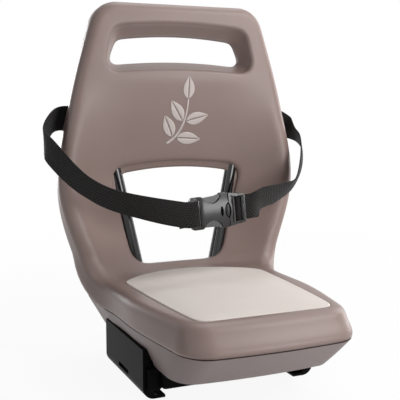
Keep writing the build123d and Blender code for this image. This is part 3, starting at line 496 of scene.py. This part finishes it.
def shellOutline():
    # x, u, inward direction and outward slope of the skirt, all round the sheet's edge
    def side(u):
        return smoothValue(stations, u, 1)

    def sideDir(u):
        t = side(u + 0.5) - side(u - 0.5)
        return Vector((-1, t)).normalized()

    def front(x):
        return shell["frontTopY"] - startY + x * x / 2 / shell["frontBowRadius"]

    def frontDir(x):
        return Vector((-x / shell["frontBowRadius"], 1)).normalized()

    r = shell["frontCorner"]
    fx, su = 60.0, front(60) + r
    for _ in range(60):
        c = Vector((fx, front(fx))) + frontDir(fx) * r
        su = c.y - sideDir(su).y * r
        fx += (side(su) + sideDir(su).x * r - c.x) * 0.8
    c = Vector((fx, front(fx))) + frontDir(fx) * r
    half = [(fx * i / 14, front(fx * i / 14), frontDir(fx * i / 14)) for i in range(14)]
    start, end = (math.atan2(-d.y, -d.x) for d in (frontDir(fx), sideDir(su)))
    for i in range(12):
        a = start + (end - start) * i / 12
        half.append((c.x + r * math.cos(a), c.y + r * math.sin(a), Vector((-math.cos(a), -math.sin(a)))))
    r = shell["topCorner"]
    tu = topU - r
    for _ in range(30):
        tu = topU - r - sideDir(tu).y * r
    count = 110
    half += [(side(u), u, sideDir(u)) for u in (su + (tu - su) * i / count for i in range(count))]
    c = Vector((side(tu), tu)) + sideDir(tu) * r
    start = math.atan2(-sideDir(tu).y, -sideDir(tu).x)
    for i in range(14):
        a = start + (math.pi / 2 - start) * i / 14
        half.append((c.x + r * math.cos(a), c.y + r * math.sin(a), Vector((-math.cos(a), -math.sin(a)))))
    half += [(c.x * (1 - i / 14), topU, Vector((0, -1))) for i in range(15)]
    whole = half + [(-x, u, Vector((-d.x, d.y))) for x, u, d in half[-2:0:-1]]
    slopes = [
        frontSlope * max(d.y, 0) ** 2 + smoothValue(stations, u, 2) / shell["depth"] * d.x**2 for _, u, d in whole
    ]
    return [(x, u, d, slope) for (x, u, d), slope in zip(whole, slopes)]


def openingLoops(size, count):
    loops = []
    for top, low, corners in (
        (size["top"], size["low"], size["corners"]), (size["rearTop"], size["rearLow"], size["rearCorners"])
    ):
        (tx, ts), (lx, ls) = top, low
        topBow, lowBow = size["bows"]
        edges = [
            arcThrough((0, ls + lowBow), (lx / 2, ls + 0.75 * lowBow), (lx, ls)),
            arcThrough((lx, ls), ((lx + tx) / 2, (ls + ts) / 2), (tx, ts)),
            arcThrough((tx, ts), (0, ts + topBow), (-tx, ts), 80),
            arcThrough((-tx, ts), (-(lx + tx) / 2, (ls + ts) / 2), (-lx, ls)),
            arcThrough((-lx, ls), (-lx / 2, ls + 0.75 * lowBow), (0, ls + lowBow)),
        ]
        loops.append(roundedLoop(edges, (corners[1], corners[0], corners[0], corners[1], 0.01), count))
    return loops


def padLoop(grow):
    hf, hr, fy, cy = pad["halfFront"], pad["halfRear"], pad["frontY"], pad["cornerY"]
    mid = (hf + hr) / 2 + pad["bow"]
    edges = [
        arcThrough((-hf, fy), (0, fy), (hf, fy)),
        arcThrough((hf, fy), (mid, (fy + cy) / 2), (hr, cy)),
        arcThrough((hr, cy), (0, pad["rearY"]), (-hr, cy), 80),
        arcThrough((-hr, cy), (-mid, (fy + cy) / 2), (-hf, fy)),
    ]
    loop, outward = roundedLoop(edges, (pad["corner"],) * 4, pad["points"])
    return loop + outward * grow


def buildShell():
    verts, faces = [], []
    outline = shellOutline()
    fronts = [min(1, max(0, slope / frontSlope)) for _, _, _, slope in outline]
    rims = [shell["rim"] + shell["frontRimGain"] * f for f in fronts]
    turns = [math.pi / 2 - math.atan(slope) for _, _, _, slope in outline]
    insets = [rim * math.tan(t / 2) for rim, t in zip(rims, turns)]
    edge = np.array([(x + d.x * t, u + d.y * t) for (x, u, d, _), t in zip(outline, insets)])

    holes, tunnels = [], []
    for size in (shell["handle"], shell["window"]):
        (loop, outward), (rear, _) = openingLoops(size, shell["openingPoints"])
        rolls, starts = [], []
        for (x, s), (ox, os) in zip(loop, outward):
            here = backPlace(panelPoint(x, wallPlace(x, s)))[2]
            roll = min(size["roll"], max(1.5, (size["depth"] - here) * 0.7))
            rolls.append(roll)
            starts.append((x + ox * roll, wallPlace(x + ox * roll, s + os * roll)))
        holes.append(np.array(starts))
        tunnels.append((size, loop, outward, rear, rolls))
    recess = padLoop(pad["gap"] + 1.0)
    holes.append(np.array([(x, sheetPlace(y, shell["seatZ"])) for x, y in recess]))

    # panel between the rim and the openings
    spots = []
    u, row = edge[:, 1].min(), 0
    while u < edge[:, 1].max():
        step = shell["gridMm"] * shell["rowSteps"][0 if seatRun - 4 < u < bendEnd + 20 else 1]
        shift = shell["gridMm"] / 2 if row % 2 else 0
        spots += [(x + shift, u) for x in np.arange(-170, 171, shell["gridMm"])]
        u, row = u + step, row + 1
    loops = [edge] + holes
    flat, triangles, rings = flatMesh(loops, clearSpots(np.array(spots), loops, shell["edgeRoom"]))
    verts += [panelPoint(x, u) for x, u in flat]
    faces += triangles

    # rolled rim and skirt
    last = rings[0]
    steps = shell["rimSteps"]
    for k in range(1, steps + 1):
        points = []
        for (x, u, d, slope), t, rim, inset, (ex, eu) in zip(outline, turns, rims, insets, edge):
            a = t * k / steps
            run = inset - rim * math.sin(a)
            depth = rim * (1 - math.cos(a)) + dishDepth(ex, eu) * (1 - k / steps) ** 2
            points.append(sheetPoint(x + d.x * run, u + d.y * run, depth))
        ring = addRing(verts, points)
        bridge(faces, last, ring)
        last = ring
    steps = shell["skirtSteps"]
    for k in range(1, steps + 1):
        points = []
        for (x, u, d, slope), t, rim, f in zip(outline, turns, rims, fronts):
            low = rim * (1 - math.cos(t))
            g = k / steps
            depth = low + (shell["depth"] - shell["partGap"] - low) * g
            swell = 6.75 * g * g * (1 - g)  # reaches 1 two thirds of the way down
            run = slope * depth + shell["frontBulge"] * f * swell
            points.append(sheetPoint(x - d.x * run, u - d.y * run, depth))
        ring = addRing(verts, points)
        bridge(faces, last, ring)
        last = ring

    # openings: rolled front edge, then the tunnel back to its rear edge
    tube = shell["tube"]
    inward = Vector((0, math.cos(lean), -math.sin(lean)))
    for (size, loop, outward, rear, rolls), ring in zip(tunnels, rings[1:3]):
        curves = []
        for (x, s), (ox, os), (rx, rs), roll, start in zip(loop, outward, rear, rolls, ring):
            p0 = verts[start]
            near = panelPoint(x + ox * (roll - 1), wallPlace(x + ox * (roll - 1), s + os * (roll - 1)))
            lead = (near - p0).normalized()
            p3 = backPoint(x, s, backPlace(p0)[2] + roll)
            p1, p2 = p0 + lead * roll * 0.55, p3 - inward * roll * 0.55
            curve = []
            for k in range(1, 8):
                f = k / 7
                curve.append(p0 * (1 - f) ** 3 + p1 * 3 * f * (1 - f) ** 2 + p2 * 3 * f * f * (1 - f) + p3 * f**3)
            offset = abs(abs(rx) - tube["footHalf"] - tube["splay"] * rs) * math.cos(math.atan(tube["splay"]))
            depth = size["depth"]
            if size is shell["window"] and offset < tube["room"]:  # notch round the tube
                depth = min(depth, tube["depth"] - math.sqrt(tube["room"] ** 2 - offset**2))
            end = backPoint(rx, rs, max(depth, backPlace(p3)[2] + 0.5))
            curve += [p3.lerp(end, k / 4) for k in range(1, 5)]
            curves.append(curve)
        last = ring
        for k in range(len(curves[0])):
            here = addRing(verts, [c[k] for c in curves])
            bridge(faces, here, last)
            last = here

    # recess for the pad
    last = rings[3]
    for grow, z in ((0.7, 89.9), (0.45, 89.6), (pad["gap"], 89.0), (pad["gap"], pad["floorZ"])):
        ring = addRing(verts, [Vector((x, y, z)) for x, y in padLoop(grow)])
        bridge(faces, ring, last)
        last = ring
    faces.append(tuple(last))

    piece = newPiece("seatShell", verts, faces, "shell_plastic", sharp=50, upAt=(100, -150, 90))
    thick = piece.modifiers.new("wall", "SOLIDIFY")
    thick.thickness, thick.offset, thick.use_even_offset = shell["wall"] * mm, -1, False
    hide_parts("seat_shell")
    return piece


seatShell = buildShell()
print("seat shell:", len(seatShell.data.polygons), "faces")


# Seat pad: foam set into the seat, its skin swollen a little by a cloth simulation
padSwell = {"startTopZ": 91.0, "edge": 1.8, "gridMm": 5.0, "pressure": 3.0, "capMm": 1.6, "frames": 20}


def buildPad():
    verts, faces = [], []
    top = padLoop(-padSwell["edge"])
    spots = np.array([(x, y) for x in np.arange(-95, 96, padSwell["gridMm"])
                      for y in np.arange(-200, 40, padSwell["gridMm"])])
    flat, triangles, (last,) = flatMesh([top], clearSpots(spots, [top], 2))
    verts += [Vector((x, y, padSwell["startTopZ"])) for x, y in flat]
    faces += triangles
    for k in range(1, 5):
        a = math.pi / 2 * k / 4
        ring = addRing(verts, [
            Vector((x, y, padSwell["startTopZ"] - padSwell["edge"] * (1 - math.cos(a))))
            for x, y in padLoop(-padSwell["edge"] * (1 - math.sin(a)))
        ])
        bridge(faces, last, ring)
        last = ring
    ring = addRing(verts, [Vector((x, y, pad["floorZ"])) for x, y in padLoop(0)])
    bridge(faces, last, ring)
    faces.append(tuple(ring))
    piece = newPiece("seatPad", verts, faces, "pad_foam", sharp=60)
    rest = [v.co.copy() for v in piece.data.vertices]
    held = piece.vertex_groups.new(name="held")
    held.add([i for i, c in enumerate(rest) if c.z < (padSwell["startTopZ"] - 0.5) * mm], 1.0, "REPLACE")
    cloth = piece.modifiers.new("swell", "CLOTH")
    cloth.settings.use_pressure = True
    cloth.settings.uniform_pressure_force = padSwell["pressure"]
    cloth.settings.effector_weights.gravity = 0
    cloth.settings.vertex_group_mass = "held"
    for number in range(1, padSwell["frames"] + 1):
        scene.frame_set(number)
    shaped = piece.evaluated_get(bpy.context.evaluated_depsgraph_get())
    moved = [v.co.copy() for v in shaped.data.vertices]
    piece.modifiers.remove(cloth)
    scene.frame_set(1)
    cap = padSwell["capMm"] * mm
    for vertex, start, end in zip(piece.data.vertices, rest, moved):
        rise = max(0, end.z - start.z)
        vertex.co = start + Vector((0, 0, cap * math.tanh(rise / cap)))
    smooth = piece.modifiers.new("skin", "SUBSURF")
    smooth.levels = smooth.render_levels = 1
    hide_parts("seat_pad")
    return piece


seatPad = buildPad()
print("seat pad:", len(seatPad.data.polygons), "faces")


# Buckle frame: x along the belt, y up across it, z out to the front
buckle = {"place": (16.5, -41.0, 174.0), "tilt": 4.5, "easeMm": 0.9}
backUp = Vector((0, math.sin(lean), math.cos(lean)))
buckleOut = Vector((0, -math.cos(lean), math.sin(lean)))
buckleAlong = Vector((1, 0, 0)) * math.cos(math.radians(buckle["tilt"])) + backUp * math.sin(
    math.radians(buckle["tilt"]))
buckleUp = buckleOut.cross(buckleAlong)


def buckleAt(x, y, z):
    return Vector(buckle["place"]) + buckleAlong * x + buckleUp * y + buckleOut * z


def plate(verts, faces, outline, holes, front, rear, step):
    # closed plate in the buckle's frame; front(x, y) and rear(x, y) give its two faces
    loops = [np.array(outline, float)] + [np.array(h, float) for h in holes]
    low, high = loops[0].min(0), loops[0].max(0)
    spots = np.array([(x, y) for x in np.arange(low[0], high[0], step) for y in np.arange(low[1], high[1], step)])
    flat, triangles, rings = flatMesh(loops, clearSpots(spots, loops, step * 0.55, parts=4))
    top = addRing(verts, [buckleAt(x, y, front(x, y)) for x, y in flat])
    under = addRing(verts, [buckleAt(x, y, rear(x, y)) for x, y in flat])
    for t in triangles:
        faces.append(tuple(top[i] for i in t))
        faces.append(tuple(under[i] for i in reversed(t)))
    for ring in rings:
        bridge(faces, [top[i] for i in ring], [under[i] for i in ring])


def oval(cx, cy, a, b, start=0.0, end=360.0, count=28):
    return [
        (cx + a * math.cos(math.radians(start + (end - start) * i / count)),
         cy + b * math.sin(math.radians(start + (end - start) * i / count)))
        for i in range(count if end - start == 360 else count + 1)
    ]


def rod(verts, faces, start, end, rx, rz, count=14):
    # rounded bar between two points of the buckle's frame, oval in section
    start, end = Vector(start), Vector(end)
    rings = []
    for f, grow in ((0, 0.7), (0.02, 1), (0.98, 1), (1, 0.7)):
        c = start.lerp(end, f)
        rings.append(addRing(verts, [
            buckleAt(c.x + rx * grow * math.cos(2 * math.pi * i / count), c.y,
                     c.z + rz * grow * math.sin(2 * math.pi * i / count)) for i in range(count)
        ]))
    for a, b in zip(rings, rings[1:]):
        bridge(faces, a, b)
    faces.append(tuple(rings[0]))
    faces.append(tuple(reversed(rings[-1])))


socket = {"left": -37.0, "mouth": 10.7, "halfHeight": 20.6, "earHalf": 19.2, "thick": 6.0, "earThick": 4.4,
          "dome": 2.8, "bite": (-10.1, 22.3, 12.3), "slot": (-31.0, -24.9, 14.9), "eye": (9.8, -0.4, 4.1, 8.9),
          "keySlot": (1.5, -0.6, 1.9, 5.8)}
plug = {"left": 11.6, "blockRight": 15.4, "right": 32.9, "halfLeft": 19.8, "halfRight": 16.6, "thick": 5.2,
        "openHalf": 15.4, "bars": ((17.7, 1.75), (31.0, 1.75)), "rung": (24.6, 1.4), "button": (9.7, -0.5, 2.6, 7.1),
        "tongue": (4.0, 14.0, 17.5), "shoulderThick": 2.7}


def socketFront(x, y):
    ramp = min(1, max(0, (x + 28) / 5))
    ramp = ramp * ramp * (3 - 2 * ramp)
    return socket["earThick"] + (socket["thick"] - socket["earThick"]) * ramp - socket["dome"] * (y / 21) ** 2


def buildBuckle():
    verts, faces = [], []
    bx, by, br = socket["bite"]
    h, e = socket["halfHeight"], socket["earHalf"]
    ex, ey, ea, eb = socket["eye"]
    cut = math.degrees(math.acos((socket["mouth"] - ex) / ea))
    upper = [(socket["mouth"], h), (2.4, h + 0.4), (0.6, h - 0.4)]
    upper += oval(bx, by, br, br, -18, -158, 16)
    upper += [(-22.6, e - 0.2), (-24.5, e)] + oval(socket["left"] + 4, e - 4, 4, 4, 90, 180, 6)
    lower = [(x, -y) for x, y in reversed(upper)]
    eyeNotch = oval(ex, ey, ea, eb, 360 - cut, cut, 20)
    outline = upper + lower + eyeNotch
    sl, sr, sh = socket["slot"]
    strapSlot = [(sl, -sh), (sr, -sh), (sr, sh), (sl, sh)]
    keySlot = oval(*socket["keySlot"], count=20)
    plate(verts, faces, outline, [strapSlot, keySlot], socketFront, lambda x, y: -socketFront(x, y), 1.8)
    kx, ky, ka, kb = socket["keySlot"]
    plate(verts, faces, oval(kx, ky, ka + 0.3, kb + 0.3, count=20), [], lambda x, y: 0.5, lambda x, y: -2.0, 1.5)
    half = newPiece("buckleSocket", verts, faces, "buckle_plastic", sharp=35)
    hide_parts("buckle_socket")

    verts, faces = [], []
    hl, hr, oh = plug["halfLeft"], plug["halfRight"], plug["openHalf"]
    cut = math.degrees(math.acos((plug["left"] - ex) / ea))
    outline = [(plug["left"], -hl)] + oval(plug["right"] - 3, -hr + 2.4, 3, 3, -90, 0, 5)
    outline += oval(plug["right"] - 3, hr - 2.4, 3, 3, 0, 90, 5)
    outline += [(plug["left"], hl)] + oval(ex, ey, ea, eb, cut, -cut, 20)
    ladder = [(plug["blockRight"], -oh), (plug["right"] - 3.6, -oh + 1), (plug["right"] - 3.6, oh - 1),
              (plug["blockRight"], oh)]
    thick = plug["thick"]
    plate(verts, faces, outline, [ladder], lambda x, y: thick - 1.2 * (y / 21) ** 2,
          lambda x, y: -thick + 1.2 * (y / 21) ** 2, 1.8)
    for x, r in plug["bars"]:
        rod(verts, faces, (x, -oh - 0.5, thick - 1.6), (x, oh + 0.5, thick - 1.6), r, 1.7)
    rx, rr = plug["rung"]
    rod(verts, faces, (rx, -oh - 0.5, 0), (rx, oh + 0.5, 0), rr * 1.6, rr)
    for side in (-1, 1):  # prong shoulders that fill the socket's side cut-outs
        arc = oval(bx, side * by, br + 0.3, br + 0.3, side * -155, side * -27, 16)
        shoulder = [(-20.6, side * 17.4)] + arc[1:-1] + [(1.3, side * 18.9), (0.2, side * 19.4), (-5, side * 18.2)]
        plate(verts, faces, shoulder, [], lambda x, y: plug["shoulderThick"], lambda x, y: -plug["shoulderThick"], 1.8)
    tl, tr, th = plug["tongue"]  # closes the gap at the mouth from inside
    plate(verts, faces, [(tl, -th), (tr, -th), (tr, th), (tl, th)], [], lambda x, y: 1.0, lambda x, y: -1.0, 2)
    px, py, pa, pb = plug["button"]
    plate(verts, faces, oval(px, py, pa, pb, count=24), [],
          lambda x, y: 6.3 - 1.6 * (((x - px) / pa) ** 2 + ((y - py) / pb) ** 2), lambda x, y: -3.0, 1.2)
    plate(verts, faces, oval(ex, ey, ea + 0.4, eb + 0.4, count=24), [], lambda x, y: -0.5, lambda x, y: -2.5, 2)
    other = newPiece("bucklePlug", verts, faces, "buckle_plastic", sharp=35)
    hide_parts("buckle_plug")
    for piece in (half, other):
        easeEdges(piece, buckle["easeMm"], 3, 50)
    return half, other


buckleHalves = buildBuckle()
print("buckle:", [len(b.data.polygons) for b in buckleHalves], "faces")


# Waist belt: webbing from an anchor behind each side of the back, round it and to the buckle
belt = {
    "width": 30.0, "thick": 1.6, "stepMm": 2.5, "anchorS": 193.0, "depth": 32.2,
    "left": [  # place, direction up across the tape
        ((-149, 60, 281), (-0.07, -0.3, 0.95)), ((-159, 52, 277), (-0.14, -0.5, 0.85)),
        ((-170, 38, 265), (-0.18, -0.5, 0.84)), ((-174.5, 25, 255), (-0.1, -0.4, 0.9)),
        ((-173.5, 13, 249), (0.06, -0.3, 0.95)), ((-167, 0, 238), (0.17, -0.48, 0.85)),
        ((-154, -14, 221), (0.24, -0.68, 0.68)), ((-139, -25, 207), (0.23, -0.72, 0.65)),
        ((-114, -33, 193), (0.16, -0.6, 0.78)), ((-74, -43, 181.5), (0, -0.35, 0.93)),
    ],
    "leftFold": [(-41.5, 0, 3.7), (-33.5, 0, 3.9), (-28.4, 0, 3.2), (-26.2, 0, 0), (-28.4, 0, -3.2), (-33.5, 0, -3.7),
                 (-42, 0, -2.9), (-51.5, 0, -0.4)],
    "right": [
        ((150, 61, 275.5), (-0.1, 0, 1)), ((162, 57, 267), (-0.25, -0.1, 0.95)),
        ((170, 44, 257), (-0.45, -0.55, 0.65)), ((168.5, 28, 246), (-0.48, -0.63, 0.61)),
        ((158, 11, 220), (-0.45, -0.7, 0.55)), ((140, -1, 196), (-0.3, -0.8, 0.5)),
        ((112, -14, 188), (-0.1, -0.55, 0.8)), ((80, -29, 184.5), (0, -0.3, 0.95)),
    ],
    "rightFold": [(46, 0, -4.0), (34, 0, -3.6), (30, 0, -3.0), (28.3, 0, -0.8), (27.2, 0, 1.5), (24.6, 0, 2.5),
                  (21.8, 0, 1.5), (20.7, 0, -1.5), (20.9, 0, -4.6), (22.6, 0, -6.4), (27, -0.4, -7.4),
                  (40, -1.6, -10.0, (0, -0.05, 1)), (54, -2.8, -15.0, (0, -0.1, 1)),
                  (63.5, -3.2, -18.6, (0, -0.12, 1))],
}


def buildTape(name, course, node):
    width, thick = belt["width"], belt["thick"]
    table, t = [], 0.0
    for i, (place, across) in enumerate(course):
        t += (Vector(place) - Vector(course[i - 1][0])).length if i else 0
        table.append((t, *place, *across))
    count = int(t / belt["stepMm"])
    profile = [((width - thick) * (i / 10 - 0.5), thick / 2) for i in range(11)]
    profile += [((width - thick) / 2 + thick / 2 * math.cos(a), thick / 2 * math.sin(a))
                for a in (math.pi / 4, 0, -math.pi / 4)]
    profile += [(-a, -n) for a, n in profile]
    verts, faces, uvs, last = [], [], [], None
    for i in range(count + 1):
        here = t * i / count
        place = Vector([smoothValue(table, here, c) for c in (1, 2, 3)])
        ahead = Vector([smoothValue(table, here + 0.5, c) - smoothValue(table, here - 0.5, c) for c in (1, 2, 3)])
        ahead.normalize()
        across = Vector([smoothValue(table, here, c) for c in (4, 5, 6)])
        across = (across - ahead * across.dot(ahead)).normalized()
        out = ahead.cross(across)
        ring = addRing(verts, [place + across * a + out * n for a, n in profile])
        uvs += [(here, a) for a, n in profile]
        if last:
            bridge(faces, last, ring)
        else:
            faces.append(tuple(reversed(ring)))
        last = ring
    faces.append(tuple(last))
    piece = newPiece(name, verts, faces, "webbing", sharp=60, uvs=uvs)
    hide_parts(node)
    return piece


def beltCourse(side, middle, fold):
    flat = [(backPoint(side * x, belt["anchorS"], belt["depth"]), backUp) for x in (107, 121, 135)]
    return flat + middle + [(buckleAt(*p[:3]), p[3] if len(p) > 3 else buckleUp) for p in fold]


beltLeft = buildTape("beltLeft", beltCourse(-1, belt["left"], belt["leftFold"]), "belt_left")
beltRight = buildTape("beltRight", beltCourse(1, belt["right"], belt["rightFold"]), "belt_right")
print("belt:", len(beltLeft.data.polygons) + len(beltRight.data.polygons), "faces")


# Printed leaf sprig on the back, a plain garden motif
sprig = {
    "lift": 0.18, "stem": ((-17, 249), (9, 262), (9, 305)), "stemHalf": (1.9, 1.0),
    "leaves": [  # place along the stem, angle from the stem, length, width
        (0.2, 72, 29, 16), (0.24, -50, 32, 16), (0.6, 52, 30, 16), (0.62, -58, 30, 16), (0.97, 2, 27, 15.5),
    ],
}


def buildSprig():
    verts, faces = [], []

    def onBack(x, z):
        return Vector((x, dishY(x, z) - sprig["lift"], z))

    a, b, c = (Vector(p) for p in sprig["stem"])

    def stemAt(f):
        return a * (1 - f) ** 2 + b * 2 * f * (1 - f) + c * f * f

    def stemDir(f):
        return ((b - a) * (1 - f) + (c - b) * f).normalized()

    last = None
    for i in range(25):
        f = i / 24
        d, half = stemDir(f), sprig["stemHalf"][0] * (1 - f) + sprig["stemHalf"][1] * f
        side = Vector((-d.y, d.x))
        ring = addRing(verts, [onBack(*(stemAt(f) + side * half * k)) for k in (-1, 0, 1)])
        if last:
            bridge(faces, last, ring, closed=False)
        last = ring
    for f, angle, length, width in sprig["leaves"]:
        base, d = stemAt(f), stemDir(f)
        w = math.radians(angle)
        d = Vector((d.x * math.cos(w) - d.y * math.sin(w), d.x * math.sin(w) + d.y * math.cos(w)))
        side = Vector((-d.y, d.x))
        for half in (-1, 1):  # the two halves leave the mid-rib bare
            last = None
            for i in range(13):
                g = i / 12
                bulge = width / 2 * math.sin(math.pi * g**0.8) ** 0.85
                inner = min(0.55, bulge * 0.5)
                spots = [inner + (max(bulge, 0.6) - inner) * k / 4 for k in range(5)]
                along = base + d * (3 + length * g)
                ring = addRing(verts, [onBack(*(along + side * half * k)) for k in spots])
                if last:
                    bridge(faces, last, ring, closed=False)
                last = ring
    piece = newPiece("leafSprig", verts, faces, "shell_plastic", material=printInk, sharp=60)
    thick = piece.modifiers.new("inkFilm", "SOLIDIFY")
    thick.thickness, thick.offset = 0.3 * mm, 0
    return piece


leafSprig = buildSprig()
print("leaf sprig:", len(leafSprig.data.polygons), "faces")


# Front guards of the clamp base, in front of the jaws' path
guard = {"inner": 74.0, "outer": 101.0, "y": (-117.5, -113.3), "z": (-4.0, 20.4), "slant": (88.0, 3.0),
         "easeMm": 1.2}


def buildGuards():
    verts, faces = [], []
    for side in (-1, 1):
        rings = []
        for y in guard["y"]:
            rings.append(addRing(verts, [Vector((side * x, y, z)) for x, z in (
                (guard["outer"], guard["z"][0]), (guard["slant"][0], guard["z"][0]),
                (guard["inner"], guard["slant"][1]), (guard["inner"], guard["z"][1]),
                (guard["outer"], guard["z"][1]))]))
        bridge(faces, *rings)
        faces.extend((tuple(rings[0]), tuple(reversed(rings[1]))))
    piece = newPiece("clampGuards", verts, faces, "clamp_plastic")
    easeEdges(piece, guard["easeMm"], 3, 30, harden=False)
    return piece


clampGuards = buildGuards()
print("clamp guards:", len(clampGuards.data.polygons), "faces")


# Carried-over CAD nodes: finish by record slot, and how far their edges are eased, in mm
nodeFinish = {
    "pan_plastic": (["base_pan"], 1.2),
    "tube_steel": (["frame_hoop", "hoop_clips"], 0.3),
    "zinc_steel": (["clip_screws", "cross_straps", "base_bolts", "base_nuts", "shell_screws", "belt_anchors",
                    "anchor_screws", "clamp_spindle", "jaw_nut_left", "jaw_nut_right"], 0.3),
    "clamp_plastic": (["jaw_left", "jaw_right", "clamp_base", "thumbwheel", "hoop_plugs"], 1.6),
}
for slotName, (names, easing) in nodeFinish.items():
    for name in names:
        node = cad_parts[name]
        node.data.materials.clear()
        node.data.materials.append(slotMaterials[slotName])
        node.data.polygons.foreach_set("use_smooth", [True] * len(node.data.polygons))
        node.data.set_sharp_from_angle(angle=math.radians(28))
        easeEdges(node, easing, 2, 40)
print("cad nodes finished")


# Studio: pale floor, soft lamps, white behind
studio = {
    "floorZ": -0.0153, "floorColour": "#F4F4F3", "worldColour": "#FFFFFF", "worldStrength": 0.12,
    "floorWhite": (0.35, 1.1, 0.92, 1.0),  # distances from the part, share of plain white there
    "glossOnly": ("leftCard",),  # seen in reflections, gives no light of its own to matt surfaces
    "lamps": [  # name, place, target, width, height, watts
        ("leftCard", (-1.41, -0.49, 0.35), (0, 0, 0.22), 0.1, 1.0, 2.4),
        ("keyBox", (0.58, -0.66, 0.9), (0, 0, 0.24), 0.6, 0.6, 6.9),
        ("frontBox", (0.75, -1.6, 0.36), (0, 0, 0.24), 0.55, 0.5, 8.2),
        ("leftStrip", (-0.95, -1.15, 0.5), (0, 0, 0.22), 0.1, 1.0, 0.5),
        ("rightStrip", (1.1, 0.2, 0.5), (0, 0, 0.2), 0.2, 1.0, 4),
        ("topBox", (0.3, 0.2, 1.4), (0, 0, 0.1), 0.8, 0.8, 5),
        ("rearBox", (-0.35, 1.5, 0.35), (0, 0, 0.22), 0.6, 0.6, 7),
    ],
}


def plainView(tree):
    # 1 for rays that look straight, by reflection or through glass at the backdrop
    seen = addNode(tree, "ShaderNodeLightPath").outputs
    one = addNode(tree, "ShaderNodeMath", {0: seen["Is Camera Ray"], 1: seen["Is Glossy Ray"]}, operation="MAXIMUM")
    return addNode(tree, "ShaderNodeMath", {0: one.outputs["Value"], 1: seen["Is Transmission Ray"]},
                   operation="MAXIMUM").outputs["Value"]


world = bpy.data.worlds.new("studio")
scene.world = world
world.use_nodes = True
tree = world.node_tree
tree.nodes.clear()
plain = addNode(tree, "ShaderNodeBackground", {"Color": linear(studio["worldColour"]),
                                               "Strength": studio["worldStrength"]})
white = addNode(tree, "ShaderNodeBackground", {"Color": linear(studio["worldColour"]), "Strength": 1.0})
both = addNode(tree, "ShaderNodeMixShader", {0: plainView(tree), 1: plain.outputs["Background"],
                                             2: white.outputs["Background"]})
addNode(tree, "ShaderNodeOutputWorld", {"Surface": both.outputs["Shader"]})
for name, place, target, width, height, watts in studio["lamps"]:
    data = bpy.data.lights.new(name, "AREA")
    data.shape, data.size, data.size_y, data.energy = "RECTANGLE", width, height, watts
    lamp = bpy.data.objects.new(name, data)
    lamp.location = place
    lamp.visible_diffuse = name not in studio["glossOnly"]
    lamp.rotation_euler = (Vector(target) - Vector(place)).to_track_quat("-Z", "Y").to_euler()
    scene.collection.objects.link(lamp)

# Matt paper floor: white where it is looked at, less so near the part, where its shadow falls
floorMaterial, tree, shader = newMaterial("paper_backdrop_matt", {"Base Color": linear(studio["floorColour"]),
                                                                  "Roughness": 0.9})
place = addNode(tree, "ShaderNodeTexCoord").outputs["Object"]
away = addNode(tree, "ShaderNodeVectorMath", {0: place}, operation="LENGTH")
near, far, low, high = studio["floorWhite"]
share = addNode(tree, "ShaderNodeMapRange", {"Value": away.outputs["Value"], "From Min": near, "From Max": far,
                                             "To Min": low, "To Max": high})
share = addNode(tree, "ShaderNodeMath", {0: share.outputs["Result"], 1: plainView(tree)}, operation="MULTIPLY")
paper = addNode(tree, "ShaderNodeEmission", {"Color": (1, 1, 1, 1), "Strength": 1.0})
mixed = addNode(tree, "ShaderNodeMixShader", {0: share.outputs["Value"], 1: shader.outputs["BSDF"],
                                              2: paper.outputs["Emission"]})
tree.links.new(mixed.outputs["Shader"], tree.nodes["Material Output"].inputs["Surface"])
floorMesh = bpy.data.meshes.new("floor")
reach = 6.0
floorMesh.from_pydata([(-reach, -reach, 0), (reach, -reach, 0), (reach, reach, 0), (-reach, reach, 0)], [],
                      [(0, 1, 2, 3)])
floorMesh.materials.append(floorMaterial)
floor = bpy.data.objects.new("floor", floorMesh)
floor.location.z = studio["floorZ"]
scene.collection.objects.link(floor)
print("studio ready")
